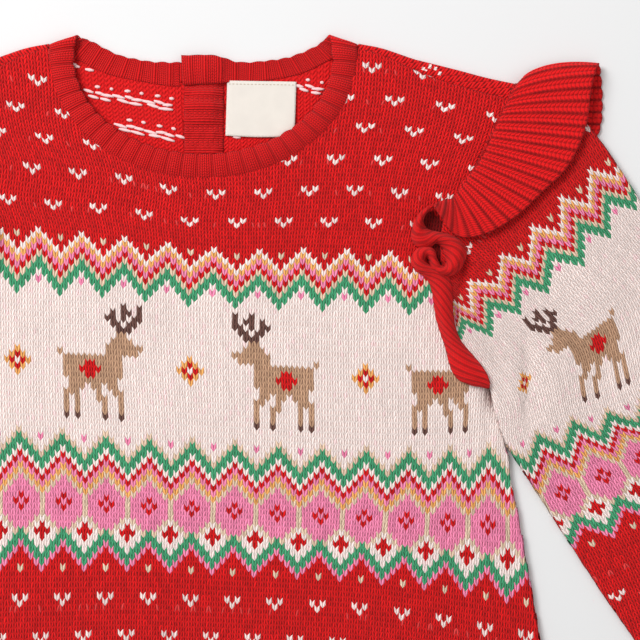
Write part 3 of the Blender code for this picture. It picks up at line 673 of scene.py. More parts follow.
# the body: where its columns and rows lie in the photograph
bodyNet = {"left": -92, "right": 66, "top": -54, "bottom": 152}
bodyGuide = {
    "reach": (-60, 560),
    "rows": [-48, -34, -27, -20, -13, -6, 0, 11, 47, 58, 152],
    "x": [295, 293, 290, 287.5, 286, 283.5, 282, 279.7, 277.6, 275.3, 272],
    "pitch": [6.5, 6.3, 6.15, 5.9, 5.7, 5.68, 5.5, 5.45, 5.3, 5.27, 5.27],
    "across": [0, 60, 120, 190, 240, 300, 370, 430, 500],
    "levels": [-41, -34, -27, -20, -13, -6, 0, 11, 35, 44, 50, 58, 152],
    "y": [
        [39, 51, 59, 71, 71, 69, 69, 77, 91],
        [75, 85, 94, 105, 105, 102, 101, 106, 120],
        [105, 114, 123, 136, 135, 131, 129, 135, 147],
        [132, 140.7, 149, 164, 164.5, 161, 161, 165.5, 175],
        [164, 172.5, 179, 193.5, 195.5, 192, 191.8, 197.5, 205.5],
        [199, 206, 211, 222.5, 223.5, 223, 224, 228, 235],
        [223, 230, 236, 245, 249.7, 248.5, 250.3, 253.5, 258],
        [291, 295, 298, 305.7, 308, 310, 312.5, 315, 318],
        [430, 433, 437, 442, 444.5, 448, 451, 451.2, 447.5],
        [483.8, 485.3, 489.6, 493.9, 496.3, 499.9, 503.7, 506, 507.5],
        [519.8, 520.3, 522.7, 525.7, 528.8, 532.4, 536.3, 541, 547],
        [569.5, 569, 569, 571.5, 574, 577, 581.5, 588.8, 600],
        [985] * 9,
    ],
    "lean": [  # how far the columns lean off their straight lines, to the left
        [1.5, 1.5, 1.5, 1, 0, -0.5, -0.5, 0, 0],
        [1.5, 2, 2, 1, 0, -0.5, -0.5, 0, 0],
        [1.5, 3, 3, 2, 0, -0.5, -0.7, 0, 0],
        [5, 5.3, 4.5, 3.5, 0.5, -0.7, -0.7, 0.8, 0.3],
        [1.5, 1.3, 1.3, 2.3, 0, -0.7, 0.3, 2.3, 2.3],
        [1.3, 1.8, 2.3, 2.3, 0.5, -0.2, 1.3, 2.3, 2.3],
        [0.3, 0.8, 2.3, 2.8, 0.3, 0.3, 1.3, 2.3, 1.3],
        [-0.7, 0.3, 2.3, 3.3, 0.3, 0.8, 1.3, 1.8, -0.2],
        [1.3, 1.3, 0.3, -0.2, 0.3, -0.7, -2.2, -1, 5],
        [0.3, 0.3, 0.3, 0.3, 0.3, 0, -1.7, -0.5, 4],
        [0.3, 0.3, 0.3, 0, 0.3, -0.7, -0.7, -0.5, 2.5],
        [0.3, 0.3, -0.2, -0.7, 0, -0.7, -0.7, -0.4, 1.8],
        [0] * 9,
    ],
}


def onGuide(guide, names, byRow, byColumn):  # values of the guide's tables at a place
    return [np.einsum("...r,rc,...c->...", byRow, np.array(guide[k], float), byColumn) for k in names]


def bodyPlan(u, v):
    pitch = through(bodyGuide["rows"], bodyGuide["pitch"], v)
    x = through(bodyGuide["rows"], bodyGuide["x"], v) + pitch * (u - 0.5)  # its places are stitch middles
    level, across = weights(bodyGuide["levels"], v), weights(bodyGuide["across"], np.clip(x, *bodyGuide["reach"]))
    lean, y = onGuide(bodyGuide, ("lean", "y"), level, across)
    return fromPhoto(x - lean, y)


sideRoll = {
    "inset": 6.6, "width": 3.2, "depth": 0.55, "top": 40.0, "fade": 20.0,
    "creases": [(489.5, 378, 492.5, 402, 2.6, 2.0), (483, 392, 488, 450, 2.2, 0.5)],
}


def creased(x, y, creases, fade=0.3):
    # soft furrows in the cloth: each runs between two places in pixels, has a width and a depth, and fades out
    depth = np.zeros(x.shape)
    for x0, y0, x1, y1, width, deep in creases:
        a, b = np.array(fromPhoto(x0, y0)), np.array(fromPhoto(x1, y1))
        run = b - a
        share = ((x - a[0]) * run[0] + (y - a[1]) * run[1]) / (run @ run)
        off = ((x - a[0]) * run[1] - (y - a[1]) * run[0]) / np.linalg.norm(run)
        depth += deep * np.exp(-((off / width) ** 2)) * ease(share / fade + 0.5) * ease((1 - share) / fade + 0.5)
    return depth


def wallHeight(node, creases=()):
    wall = Wall(node)

    def height(x, y):
        seam = sideAt(y) - np.abs(x) - sideRoll["inset"]
        groove = np.exp(-((seam / sideRoll["width"]) ** 2)) * ease((sideRoll["top"] - y) / sideRoll["fade"])
        return wall.middle(x, y) - sideRoll["depth"] * groove - creased(np.abs(x), y, creases)

    return height


# under the curls of the frill the front is plain red, with painted shade deep in their hollows and a painted
# shadow in the pocket under the arm; all in pixels, which fromPhoto turns into millimetres
# its deep entry is the painted shade that the stitches in the curls' hollows are multiplied by
plainPatchAndHollowShade = {"x": 431.0, "y": 238.0, "wide": 19.0, "tall": 38.0, "deep": 0.3}
# a painted shadow in the fold under the arm: its middle and size in pixels, and how much it takes from red, green
# and blue
paintedPocketShadow = {"x": 491.0, "y": 394.0, "wide": 8.5, "tall": 15.0, "paintedShade": (0.74, 0.83, 0.84)}
# outlines of the curls' hollows, where painted shade darkens the stitches
paintedShadeHollows = [
    [(431, 209), (420, 220), (420, 230), (432, 236), (449, 240), (441, 222)],
    [(434, 240), (446, 246), (450, 258), (447, 268), (438, 266), (430, 252)],
]


def awayFrom(spot, x, y):  # 0 at the spot's middle and 1 at its edge
    cx, cy = fromPhoto(spot["x"], spot["y"])
    return np.hypot((np.abs(x) - cx) / spot["wide"], (y - cy) / spot["tall"]) * photo["pixelsPerMm"]


def frontColours(u, v):
    shades = chartColours(u, v)
    x, y = bodyPlan(np.floor(u) + 0.5, np.floor(v) + 0.5)
    shades[awayFrom(plainPatchAndHollowShade, x, y) < 1] = yarns["r"]
    # painted shadow in the pocket under the arm, fading out from its middle
    shades *= 1 - np.exp(-(awayFrom(paintedPocketShadow, x, y) ** 2))[:, None] * paintedPocketShadow["paintedShade"]
    # painted shade deep in the curls' hollows
    for outline in paintedShadeHollows:
        shades[isInside(np.column_stack(fromPhoto(*np.array(outline).T)), np.abs(x), y)] *= plainPatchAndHollowShade["deep"]
    return shades


def backPlan(u, v):  # the back's chart runs the same way round, seen from the back
    x, y = bodyPlan(u, v)
    return -x, y


knitWall = 1.5
frontHeight, backHeight = wallHeight("body_front", sideRoll["creases"]), wallHeight("body_back")
front = welded(knitMesh("bodyFront", bodyNet, bodyPlan, frontHeight, frontOutline, frontColours))
bodyFront = addPiece(front, "knit", knitFaces, ["body_front"], knitWall)
back = welded(knitMesh("bodyBack", bodyNet, backPlan, backHeight, backOutline, chartColours))
bodyBack = addPiece(back, "knit", knitFaces, ["body_back"], knitWall)
print("front and back", len(front.polygons), len(back.polygons))


def shoulderWrap():
    # the back's top edge, turned over on to the front, in slanting rows
    columns, rows, radius, turned = (wrap[k] for k in ("columns", "rings", "radius", "turned"))
    bm, a, b = flatNet(columns, rows)
    share, turn = a / columns, b / rows
    top, seam = (alongLine(cut[k], share.ravel()).reshape(*share.shape, 2) for k in ("shoulder", "shoulderSeam"))
    low = wrap["backZ"]
    high = wrap["frontZ"] + wrap["rise"] * ease((share - 1 + wrap["blend"]) / wrap["blend"])
    bend = (np.clip(turn / turned, 0, 1) - 0.5) * math.pi
    onFront = np.clip((turn - turned) / (1 - turned), 0, 1)
    y = top[..., 1] - radius - wrap["wall"] / 2 + radius * np.cos(bend)
    y = y + (seam[..., 1] - y) * onFront
    dip = wrap["dip"] * ease((onFront - wrap["dipFrom"]) / (1 - wrap["dipFrom"]))
    z = low + (high - low) * (1 + np.sin(bend)) / 2 - dip
    x = top[..., 0] + (seam[..., 0] - top[..., 0]) * onFront

    def colours(u, v):
        shades = np.array(yarns["r"]) * (0.95 + 0.1 * chanceAt(u, v))[:, None]
        y = v * wrap["row"]
        x = (u + y * wrap["slant"]) * wrap["column"]
        for sx, sy in (fromPhoto(*spot) for spot in wrap["seeds"]):
            shades[np.hypot(x - sx, y - sy) < wrap["seedSize"]] = yarns["s"]
        return shades

    places = (x / wrap["column"] - y * wrap["slant"], y / wrap["row"])
    return welded(meshFrom("shoulderRight", bm, (x, y, z), places, colours, False))


shoulders = addPair(shoulderWrap(), "knit", knitFaces, None, knitWall)

# the sleeve: its fabric lies at a slant, and is cut off by its two folds
sleeveGuide = {
    "rows": [-8, 0, 11, 22, 35, 46, 58, 104],
    "columns": [-24, -16, -8, 0, 8, 16, 24],
    "x": [
        [418, 425, 460.5, 491, 516.4, 547.5, 578.7],
        [442, 455, 484, 515, 544, 573, 602],
        [459, 491, 519, 547, 582, 608, 634],
        [496, 522, 555, 587, 618, 648, 675],
        [504, 537, 571, 606, 642, 675, 703],
        [522.5, 560.5, 600.5, 638.5, 675.5, 706.5, 733.5],
        [552, 592, 633, 672, 708, 738, 764],
        [624, 666, 708, 751, 793, 836, 878],
    ],
    "y": [
        [266, 262, 246, 206.5, 171.7, 143.7, 117.4],
        [302, 292, 268, 241.4, 211.4, 183.4, 156.4],
        [344, 336, 314, 293, 266, 238, 210],
        [402.5, 380.5, 359.5, 339.5, 316.5, 290.5, 260.5],
        [447.8, 433.8, 419.8, 411.8, 394.8, 370.8, 340.8],
        [505.5, 489.5, 472.5, 455.5, 435.5, 409.5, 379.5],
        [560.8, 544.8, 526.8, 507.8, 486.8, 462.8, 434.8],
        [741, 722, 702, 682, 662, 642, 622],
    ],
}
sleeve = {
    "net": {"left": -36, "right": 46, "top": -34, "bottom": 106},
    "innerFold": [
        (146.3, 72.2), (148.2, 62.4), (150.4, 54.6), (153.2, 45.2), (160, 33.9), (171, 17), (206.7, -37.4),
        (247.6, -95.1),
    ],
    "outerFold": [
        (161.3, 225.6), (183, 214), (203.5, 195), (251, 119), (288, 37), (320.1, -61.3),
    ],
    "cuffInner": (264.5, -131.3), "cuffOuter": (337.0, -97.5), "foldRadius": 2.0,
    "dented": (0.3, 2.45),  # creases from this depth on go no lower than this, since the wall below lies there
    "solidWall": 1.7,
    "half": (0.3, 3.0),  # least and most of half its hollow
    "pinch": {"x": 523.5, "y": 385.0, "wide": 14.0, "tall": 42.0, "share": 0.5},  # gathered at a crease, in pixels
    "creases": [
        (526, 335, 522, 430, 3.2, 0.9), (500, 300, 528, 365, 3, 0.6), (540, 330, 575, 400, 4, 0.5),
        (470, 300, 500, 372, 2.6, 0.6), (464, 250, 456, 332, 2.6, 2.4),
    ],
}
innerFold, outerFold = smoothLine(sleeve["innerFold"]), smoothLine(sleeve["outerFold"])


def sleevePlan(u, v):
    byRow, byColumn = weights(sleeveGuide["rows"], v), weights(sleeveGuide["columns"], u - 0.5)
    x, y = onGuide(sleeveGuide, "xy", byRow, byColumn)
    pinch = sleeve["pinch"]
    off, along = (x - pinch["x"]) / pinch["wide"], (y - pinch["y"]) / pinch["tall"]
    x = x - pinch["share"] * (x - pinch["x"]) * np.exp(-(off**2) - along**2)
    return fromPhoto(x, y)


def sleeveColours(u, v):
    shades = chartColours(u, v, chart["sleeveSeeds"])
    x, y = sleevePlan(np.floor(u) + 0.5, np.floor(v) + 0.5)
    right, low = chart["armholeSeed"]
    shades[(x < right) & (y > low)] = yarns["r"]
    return shades


def sleeveOutline():
    foot, more = tucks["sleeve"]
    arm = armhole - np.outer(ease((armhole[:, 1] - armhole[0, 1]) / 12) * more + foot, (1, 0))
    return np.vstack([innerFold, outerFold[::-1], arm[::-1]])


def sleeveHalf(solid, x, y):  # half the height between the middles of the sleeve's two walls
    halves = np.ones(x.shape)
    for i, (px, py) in enumerate(zip(x.ravel() * mm, y.ravel() * mm)):
        top, low = solid.ends(px, py)
        if top and low:
            halves.flat[i] = ((top.z - low.z) / mm - sleeve["solidWall"]) / 2
    return soften(np.clip(halves, *sleeve["half"]), 3)


def rounded(share):  # a quarter circle's rise from a fold
    return np.sqrt(np.clip(1 - (1 - np.clip(share, 0, 1)) ** 2, 0, 1))


def sleeveLayer(face):  # face is 1 for its front and -1 for its back
    solid = Wall("sleeve_right")

    def height(x, y):
        dent = creased(x, y, sleeve["creases"])
        away = np.minimum(*(nearestOn(line, x.ravel(), y.ravel(), False)[1] for line in (innerFold, outerFold)))
        half = sleeveHalf(solid, x, y) * rounded(away.reshape(x.shape) / sleeve["foldRadius"])
        deep, floor = sleeve["dented"]
        lowest = np.where((face > 0) & (dent > deep), floor, 0.0)
        return np.maximum(solid.middle(x, y) - dent + face * half, lowest)

    return knitMesh("sleeveRight", sleeve["net"], sleevePlan, height, sleeveOutline(), sleeveColours, face > 0)


right = welded(sleeveLayer(1), sleeveLayer(-1), weld=0.05)
sleeves = addPair(right, "knit", knitFaces, "sleeve", knitWall)
print("sleeves", len(right.polygons))

cuffRib = {
    "ribs": 9, "perRib": 8, "rows": 16, "wall": 1.2, "middle": 1.95, "half": 1.15, "ridge": 0.35, "radius": 2.0,
    "even": 0.92,  # how evenly its points are spread from fold to fold
}


def cuffMesh():
    # a flattened rib tube: net columns run round it, from the inner fold over the front and back below
    columns, rows, radius = cuffRib["ribs"] * 2 * cuffRib["perRib"], cuffRib["rows"], cuffRib["radius"]
    bm, a, b = flatNet(columns, rows)
    turn, down = a / columns * math.tau, (1 - b / rows)[..., None]
    even = cuffRib["even"]
    share = np.where(turn <= math.pi, turn, math.tau - turn) / math.pi * even + (1 - np.cos(turn)) / 2 * (1 - even)
    ends = ((sleeve["innerFold"][-1], sleeve["cuffInner"]), (sleeve["outerFold"][-1], sleeve["cuffOuter"]))
    inner, outer = (start + (end - start) * down for start, end in np.array(ends))
    plan = inner + (outer - inner) * share[..., None]
    edge = np.minimum(share, 1 - share) * np.linalg.norm(outer - inner, axis=-1) / radius
    ridge = cuffRib["ridge"] * np.cos(a / cuffRib["perRib"] * math.tau) * np.clip(edge, 0, 1)
    z = cuffRib["middle"] + np.where(turn <= math.pi, 1, -1) * (cuffRib["half"] * rounded(edge) + ridge)
    places = (a / cuffRib["perRib"], rows - b)
    return welded(meshFrom("cuffRight", bm, (plan[..., 0], plan[..., 1], z), places))


cuffs = addPair(cuffMesh(), "rib", [endRib], "cuff", cuffRib["wall"])
hemRib = {"ribs": 52, "perRib": 8, "rows": 6, "wall": 1.2, "front": 0.2, "back": 0.08}


def hem(name, node, upward, ridge):
    columns, rows = hemRib["ribs"] * hemRib["perRib"], hemRib["rows"]
    bm, a, b = flatNet(columns, rows)
    y = cut["hemY"] + (cut["hemHeight"] - cut["gap"] / 2) * b / rows
    x = (a / columns * 2 - 1) * sideAt(y) * (1 if upward else -1)
    z = Wall(node).middle(x, y) + ridge * np.cos(a / hemRib["perRib"] * math.tau)
    mesh = meshFrom(name, bm, (x, y, z), (a / hemRib["perRib"], rows - b), None, upward)
    return addPiece(mesh, "rib", [endRib], [node], hemRib["wall"])


hems = [hem("hemFront", "hem_front", True, hemRib["front"]), hem("hemBack", "hem_back", False, hemRib["back"])]
print("cuffs and hems ready")

stripRib = {"uneven": (0.6, 1.1), "bowEarly": 0.7, "curl": 0.2, "sewnRidge": 0.35, "sewn": 0.25}


def ribbedStrip(name, lines, strip, calm=([0.0], [1.0])):
    # a ribbed strip between two lines of as many points, the sewn one first, and how it bows up between them: net
    # columns run along it, rows across it, and calm is how strong its ribs are by place
    ribCount, rows = strip["ribs"], strip["rows"]
    columns = ribCount * strip["perRib"]
    bm, a, b = flatNet(columns, rows)
    where = (travelled(lines[0]) + travelled(lines[1])) / 2
    at = np.arange(columns + 1) / columns
    low, high, rise = (sample(line, where, at) for line in lines)
    share = (b / rows)[..., None]
    wave = np.abs(np.cos(np.arange(columns + 1) / strip["perRib"] * math.pi)) * 2 - 1
    wave *= np.interp(at * ribCount, np.arange(ribCount + 1), luck.uniform(*stripRib["uneven"], ribCount + 1))
    wave = wave * np.interp(at, *calm)
    points = low + (high - low) * share
    early = share ** stripRib["bowEarly"]
    points[..., 1:2] += rise[:, :1] * 4 * early * (1 - early)
    points[..., 2:] += rise[:, 1:] * 4 * share * (1 - share)
    outward = (high - low) / np.maximum(np.linalg.norm(high - low, axis=1), 1e-6)[:, None]
    points += outward * (strip["scallop"] * wave)[:, None] * ease((share - 1 + stripRib["curl"]) / stripRib["curl"])
    normal = np.cross(np.gradient(points, axis=1), np.gradient(points, axis=0))
    normal /= np.maximum(np.linalg.norm(normal, axis=-1), 1e-9)[..., None]
    sewn = stripRib["sewnRidge"]
    depth = strip["ridge"] * (sewn + (1 - sewn) * ease(share[..., 0] / stripRib["sewn"]))
    points = points + normal * (wave * depth)[..., None]
    return meshFrom(name, bm, np.moveaxis(points, -1, 0), (a / strip["perRib"], rows - b))


# the frill, from its tail at the front of the underarm, through its curls and over the shoulder, to the back
# of the underarm. The tail's and curls' rows are pixels: sewn side x y, its z, free edge x y, its z, and how far
# the strip bows up between them. Those of the front hold seam y z, edge x y z, and the bow in y and in z, and
# those of the back seam y, edge x y, and the bow in y.
frill = {
    "tail": [
        (488, 387, 7.2, 486, 387, 7, 0.1), (487.5, 381, 7.4, 469, 383.5, 6.4, 1.4),
        (484.5, 373, 7.2, 456.5, 377.5, 5.8, 2.6), (478.5, 364, 6.4, 449.5, 365, 5.4, 3.6),
        (470, 354, 5.5, 445.5, 348, 5.2, 4), (460, 342, 5.5, 440.5, 333, 5.2, 3.8),
        (454, 328, 5.5, 436, 318, 5.2, 3.8), (451.5, 312, 5.5, 433.5, 302, 5.3, 3.8),
        (451, 298, 5.5, 431.5, 290, 5.4, 3.8), (450, 285, 5.5, 427.5, 280, 5.4, 3.8),
        (446, 276, 5.6, 421, 274, 5.5, 3.9),
    ],
    "curls": [
        (432, 268, 5.6, 415, 270, 5.3, 4.8), (426, 264.5, 5.4, 411, 262.5, 5.3, 5.4),
        (423.5, 261, 5.2, 412.5, 255.5, 5.3, 5.6), (424.5, 257.5, 5.2, 418, 249.5, 5.4, 5.4),
        (427, 257.5, 5.2, 427, 247.5, 5.6, 5.2), (428.5, 260, 5.2, 433.5, 252, 5.4, 5.4),
        (430, 264, 5.2, 436, 261, 5.4, 5.4), (436, 274, 5.4, 440.5, 267, 5.6, 5.4),
        (448, 276, 5.4, 444.5, 266.5, 5.6, 6.2), (458, 270, 5.2, 446, 262, 5.6, 6.6),
        (464, 259, 5.2, 445, 256, 5.6, 6.8), (464.5, 249, 5.2, 442.5, 249, 5.6, 6.8),
        (459, 241, 5.2, 439.5, 245.5, 5.6, 6.8), (450, 236.5, 5.2, 436.5, 243.5, 5.6, 6.4),
        (441, 234, 5.2, 433.5, 243.5, 5.6, 5.8), (434, 232.5, 5.2, 430, 246, 5.5, 5.8),
        (429, 231, 5.2, 421, 248, 5.3, 5.8), (424.5, 228, 5.2, 413.5, 243, 5.2, 6.2),
        (422, 222.5, 5.2, 411.5, 234, 5.2, 6.6), (423, 217, 5.4, 414, 224, 5.2, 6.8),
        (427, 211.5, 6.2, 419.5, 214.5, 5.6, 6), (430.5, 208.5, 7.2, 427, 208.5, 7, 4),
        (433, 206, 7.5, 431.5, 207, 9.6, 1.4), (438, 203.5, 7.2, 434, 210.5, 11.6, 1.2),
        (443, 201.5, 7, 438.5, 217, 11.8, 1.6), (448, 200.5, 6.9, 443.5, 224, 11.5, 1.8),
        (451.5, 199.8, 6.9, 449.5, 232, 11, 1.8), (453.5, 199.2, 6.9, 458, 237, 10.4, 1.8),
    ],
    "front": [
        (168, 6.9, 136.5, 147.8, 10, 0, 1.8),
        (173, 6.9, 148, 151.5, 9.6, 0, 1.8), (178.5, 6.9, 161, 160, 9.4, 0, 1.6),
        (185.5, 6.9, 173, 171.4, 9.4, 0, 1.4), (192.5, 6.9, 183.5, 181.5, 9.4, 0, 1.4),
        (200, 6.9, 190.8, 194, 9.2, 0, 1.4), (208.5, 6.9, 195.2, 207.5, 9, 0.6, 1.4),
        (216.5, 6.9, 197, 222, 8.8, 1.4, 1.2), (222.8, 6.9, 199.4, 232, 8, 2.8, 0.6),
    ],
    "shoulderX": 163.2,
    "shoulder": (227.8, 3.9, 201.9, 236.2, 4.3, 4.8, 0.0),
    "back": [
        (223, 203.2, 230.5, 2.8), (215, 204, 217, 1.2), (205, 202, 201, 0), (195, 190, 182, 0), (182, 170, 163, 0),
        (165, 147, 148, 0), (145, 137, 136, 0), (120, 136, 115, 0), (95, 140, 92, 0), (74, 148.5, 73, 0),
    ],
    "backZ": 0.8, "backOut": 1.1, "ribs": 86, "perRib": 8, "rows": 20, "wall": 1.2, "ridge": 0.55,
    "fanRows": 6,  # the last rows of the curls belong to the fan
    "calm": 0.14,  # how strong the ribs are in its tail and curls
    "scallop": 0.4,
    "skew": 2.4,  # ribs that they slant by from edge to edge
    "seamIn": 0.9,
}


def frillLines():
    def onSeam(y):
        return np.interp(y, armhole[:, 1], armhole[:, 0])

    rows = [
        (*fromPhoto(seamX, seamY), seamZ, *fromPhoto(edgeX, edgeY), edgeZ, 0, rise)
        for seamX, seamY, seamZ, edgeX, edgeY, edgeZ, rise in frill["tail"] + frill["curls"]
    ]
    fanRow = len(rows) - frill["fanRows"]
    rows += [(onSeam(row[0]) - frill["seamIn"], *row) for row in frill["front"]]
    rows.append((frill["shoulderX"] - frill["seamIn"], *frill["shoulder"]))
    z = frill["backZ"]
    rows += [(onSeam(y) + frill["backOut"], y, z, edgeX, edgeY, z, bow, 0) for y, edgeX, edgeY, bow in frill["back"]]
    line = smoothLine(rows)
    lines = line[:, :3], line[:, 3:6], line[:, 6:]
    fanPoint = round((len(line) - 1) * fanRow / (len(rows) - 1))
    return lines, (travelled(lines[0])[fanPoint] + travelled(lines[1])[fanPoint]) / 2


lines, fanStart = frillLines()
calm = ([0.0, fanStart - 0.01, fanStart + 0.01], [frill["calm"], frill["calm"], 1.0])
ruffle = ribbedStrip("ruffleRight", lines, frill, calm)
ruffle.flip_normals()
places = np.zeros(len(ruffle.loops) * 2, np.float32)
ruffle.uv_layers["loops"].data.foreach_get("uv", places)
places = places.reshape(-1, 4, 2)
isCalm = places[:, :, 0].mean(1) < round(frill["ribs"] * fanStart) + 0.5
places[isCalm, :, 0] += places[isCalm, :, 1] * (frill["skew"] / frill["rows"])
ruffle.uv_layers["loops"].data.foreach_set("uv", places.ravel())
ruffle.polygons.foreach_set("material_index", isCalm.astype(np.int32))
ruffles = addPair(ruffle, "rib", [frillRib, curlRib], "ruffle", frill["wall"])
print("frills", len(ruffle.polygons))

# the neckband, from its lower end at the opening round the left of the back, the front, and the right of the
# back to its upper end: free edge x y z, sewn edge x y z
neck = {
    "left": [
        (9, 238, 1.1, 9, 228, 1.1), (-9.9, 237.4, 1.1, -9.9, 227.8, 1.1),
        (-13, 237.4, 1.1, -13, 225.1, 1.1), (-27.7, 237.9, 1.1, -28.7, 227.1, 1.1),
        (-44, 241.4, 1.1, -49.2, 231.5, 1.1), (-57, 248, 1.1, -64.4, 238.6, 1.1),
        (-62, 249.6, 1.5, -76.2, 244.2, 1.5), (-64.2, 250.4, 2.9, -77.6, 245.2, 2.7),
    ],
    "right": [
        (64.2, 250.4, 2.9, 77.6, 245.2, 2.7), (62, 249.4, 1.5, 76.2, 244.2, 1.5),
        (57.5, 245.8, 1.1, 64.4, 238.6, 1.1), (44.1, 240.2, 1.1, 49.2, 231.5, 1.1),
        (28.7, 237.9, 1.1, 28.7, 227.7, 1.1), (17.5, 237.6, 1.1, 17.5, 227.4, 1.1),
        (5.6, 240.3, 4.05, 5.6, 226.4, 3.8), (-11.3, 240.3, 4.05, -10.3, 225.6, 3.8),
    ],
    "shoulder": (-65.4, 247.6, 4.4, -78.2, 244.8, 3.9),
    "turn": 86.0, "turns": 15, "freeZ": 4.2, "sewnZ": 3.0, "seam": 0.2,
    "ribs": 50, "perRib": 12, "rows": 10, "wall": 1.8, "ridge": 0.38, "scallop": 0.35, "puff": 1.8,
    "puffFrom": 3.0,  # the height from which it puffs, and over how much
    "puffOver": 1.5,
}


def neckLines():
    front = []
    half, depth = (cut[k] + cut["bandWidth"] - neck["seam"] for k in ("neckHalf", "neckDepth"))
    for angle in np.radians(np.linspace(-neck["turn"], neck["turn"], neck["turns"])):
        s, c = math.sin(angle), math.cos(angle)
        free = (cut["neckHalf"] * s, cut["neckY"] - cut["neckDepth"] * c, neck["freeZ"])
        front.append((*free, half * s, cut["neckY"] - depth * c, neck["sewnZ"]))
    side = np.array(neck["shoulder"])
    line = smoothLine([*neck["left"], side, *front, side * (-1, 1, 1, -1, 1, 1), *neck["right"]])
    puff = neck["puff"] * ease((line[:, 2] - neck["puffFrom"]) / neck["puffOver"])
    return line[:, 3:], line[:, :3], np.column_stack([np.zeros(len(line)), puff])


neckband = addPiece(ribbedStrip("neckRib", neckLines(), neck), "rib", [bandRib], ["neckband"], neck["wall"])
print("neckband", len(neckband.data.polygons))

placketCut = {
    "columns": 16, "rows": 120, "wall": 1.1, "pitch": 7.35, "valley": 218.3, "ridge": 0.42, "plain": 203.0,
    "plainRidge": 0.2, "pucker": 0.3, "top": 230.5, "dip": 0.2,
}


def placket(name, node, left, right):
    # a band of the opening, its ribs running across, plainer and puckered near its foot
    columns, rows, top, plain = (placketCut[k] for k in ("columns", "rows", "top", "plainRidge"))
    bottom = cut["slitEnd"] - 1.0
    bm, a, b = flatNet(columns, rows)
    x, y = left + (right - left) * a / columns, bottom + (top - bottom) * b / rows
    ribbed = ease((y - placketCut["plain"]) / 4) * (1 - plain) + plain
    turn = (y - placketCut["valley"]) / placketCut["pitch"]
    z = Wall(node).middle(x, y, 1) - placketCut["ridge"] * np.cos(turn * math.tau) * ribbed
    z += placketCut["pucker"] * np.sin(x * 0.9 + 1.0) * np.cos(y * 0.55) * (1 - ribbed)
    z -= placketCut["dip"] * (ease((y - top + 1.5) / 1.5) + ease((bottom + 2 - y) / 2))
    return addPiece(meshFrom(name, bm, (x, y, z), (turn, a * 0.5)), "rib", [laidRib], [node], placketCut["wall"])


plackets = [placket("placketUnder", "placket_outer", -9.4, 6.0), placket("placketOver", "placket_inner", -9.7, 10.1)]

# the label: blank woven tape with its edge turned in and stitched
label = {
    "left": 12.1, "right": 47.4, "top": 228.0, "bottom": 199.4, "z": 2.5, "wall": 0.6, "lean": 0.9, "sag": 0.5,
    "tilt": 0.6, "wave": 0.12, "middle": 0.1, "thread": 0.35, "tape": linear(244, 236, 226),
    "stitchIn": 1.7, "stitchTilt": 0.017, "stitchLift": 0.46, "stitchEvery": 1.9, "stitch": (1.35, 0.5),
    "stitchColour": linear(206, 190, 170),
}


def labelMesh():
    columns, rows = 36, 28
    bm, a, b = flatNet(columns, rows)
    share, down = a / columns, 1 - b / rows
    x = label["left"] + (label["right"] - label["left"]) * share - label["lean"] * down
    y = label["bottom"] + (label["top"] - label["bottom"]) * b / rows
    y = y + label["sag"] * (share * 2 - 1) ** 2 * down - label["tilt"] * share
    edge = np.minimum(np.minimum(a, columns - a), np.minimum(b, rows - b)) / 2
    z = label["z"] + label["wave"] * np.sin(share * 9) * down + label["middle"] * np.clip(edge, 0, 1)
    return meshFrom("blankLabel", bm, (x, y, z), (x / label["thread"], y / label["thread"]))


def labelStitches():
    length, size = label["stitch"]
    for x in np.arange(label["left"] + 1.2, label["right"] - 0.6, label["stitchEvery"]):
        y = label["top"] - label["stitchIn"] - (x - label["left"]) * label["stitchTilt"]
        yield (x, y, label["z"] + label["stitchLift"]), -0.03, (length, size)


def stitches(name, places, colour, slotName):
    # short lengths of thread, each a small rounded bar: middle, direction in plan, length and thickness
    bm = bmesh.new()
    for middle, turn, (length, size) in places:
        made = bmesh.ops.create_uvsphere(bm, u_segments=6, v_segments=5, radius=0.5)["verts"]
        bmesh.ops.scale(bm, verts=made, vec=(length * mm, size * mm, size * mm * 0.8))
        bmesh.ops.rotate(bm, verts=made, cent=(0, 0, 0), matrix=Matrix.Rotation(turn, 3, "Z"))
        bmesh.ops.translate(bm, verts=made, vec=[along * mm for along in middle])
    return addPiece(meshOf(name, bm), slotName, [threadFace(name + "Thread", colour)])


tag = addPiece(labelMesh(), "label", [tapeFace("tape", label["tape"])], ["label"], label["wall"])
stitches("labelStitches", labelStitches(), label["stitchColour"], "label")

# pale yarn that floats across the inside of the back, in slanting groups. Places and lengths are in pixels of the
# photograph: those of the groups, those of each dash and dot in a group, and those that lie alone
floats = {
    "groups": [(89, 92), (119, 97), (149, 102), (121, 126), (151, 132), (299, 86)],
    "group": [(0, 0, 14), (11, 1.5, 13), (19, 4, 14), (5, 5, 14), (17, 8, 15), (9, -5, 6), (23, -2.5, 5)],
    "alone": [(74, 64.5, 9), (77, 67.5, 8), (90, 70, 13), (181, 137, 12), (237, 138, 12), (300, 136, 9)],
    "size": 1.8, "tilt": -0.17, "stray": 0.14, "uneven": 0.2, "drift": 0.3,
    "colour": linear(246, 206, 206), "lift": 1.05,
}


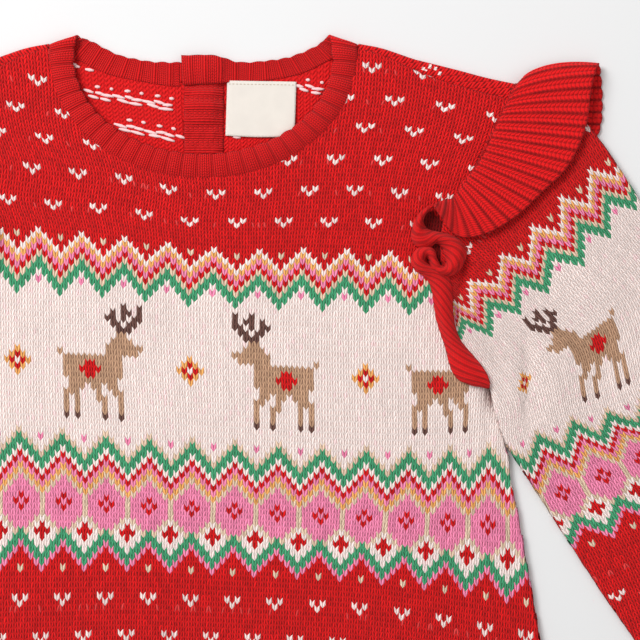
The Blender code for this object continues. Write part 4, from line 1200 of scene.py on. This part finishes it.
def floatPlaces():
    surface = Wall("body_back")
    spots = [(x0 + x, y0 + y, length) for x0, y0 in floats["groups"] for x, y, length in floats["group"]]
    for px, py, length in spots + floats["alone"]:
        x, y = fromPhoto(px, py)
        z = surface.middle(np.array([[x]]), np.array([[y]]))[0, 0] + floats["lift"]
        turn = floats["tilt"] + floats["stray"] * math.sin(px * 1.7 + py)
        length *= (1 + floats["uneven"] * math.sin(px * 2.3 - py)) / photo["pixelsPerMm"]
        yield (x, y + floats["drift"] * math.cos(px * 3.1), z), turn, (length, floats["size"])


stitches("backFloats", floatPlaces(), floats["colour"], "knit")

buttonFinish = buttonFace("buttonGloss", linear(150, 22, 30))
for node in ("button_upper", "button_lower"):
    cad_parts[node].data.materials.clear()
    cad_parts[node].data.materials.append(buttonFinish)
    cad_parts[node]["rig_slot"] = "button"


for piece in sleeves:
    2 * shoelace(sleeveOutline()) * mm**2

# floor, light and camera
studio = {
    "floor": 4.0, "paper": 0.78, "below": 0.1, "lens": 90.0, "eye": 0.8205, "page": (320.0, 320.0), "sky": 0.4,
    "aim": (0.06, 0.1, 0.0),
    "lamps": {"window": ((-0.9, 0.9, 1.3), 0.9, 30.0), "fill": ((0.9, -0.4, 1.6), 1.6, 6.0)},  # place, size, watts
}


def addFloor():
    bm = bmesh.new()
    bmesh.ops.create_grid(bm, x_segments=1, y_segments=1, size=studio["floor"] / 2)
    mesh = meshOf("floor", bm)
    paint = Paint("paper", 0.9, 0.0)
    paint.set("Base Color", [studio["paper"]] * 3)
    mesh.materials.append(paint.material)
    floor = addToScene("floor", mesh)
    floor.location.z = -studio["below"] * mm


def addLight(name, place, size, power):
    lamp = bpy.data.lights.new(name, "AREA")
    lamp.size, lamp.energy = size, power
    light = addToScene(name, lamp)
    light.location = place
    light.rotation_euler = (Vector(studio["aim"]) - Vector(place)).to_track_quat("-Z", "Y").to_euler()


def addCamera():
    data = bpy.data.cameras.new("camera")
    data.lens, data.clip_start = studio["lens"], 0.01
    camera = addToScene("camera", data)
    x, y = fromPhoto(*studio["page"])
    camera.location = (x * mm, y * mm, studio["eye"])
    bpy.context.scene.camera = camera


addFloor()
for name, lamp in studio["lamps"].items():
    addLight(name, *lamp)
addCamera()
world = bpy.data.worlds.new("studio")
world.use_nodes = True
sky = world.node_tree.nodes["Background"].inputs
sky["Color"].default_value, sky["Strength"].default_value = (1, 1, 1, 1), studio["sky"]
bpy.context.scene.world = world
bpy.context.scene.view_settings.view_transform = "Standard"
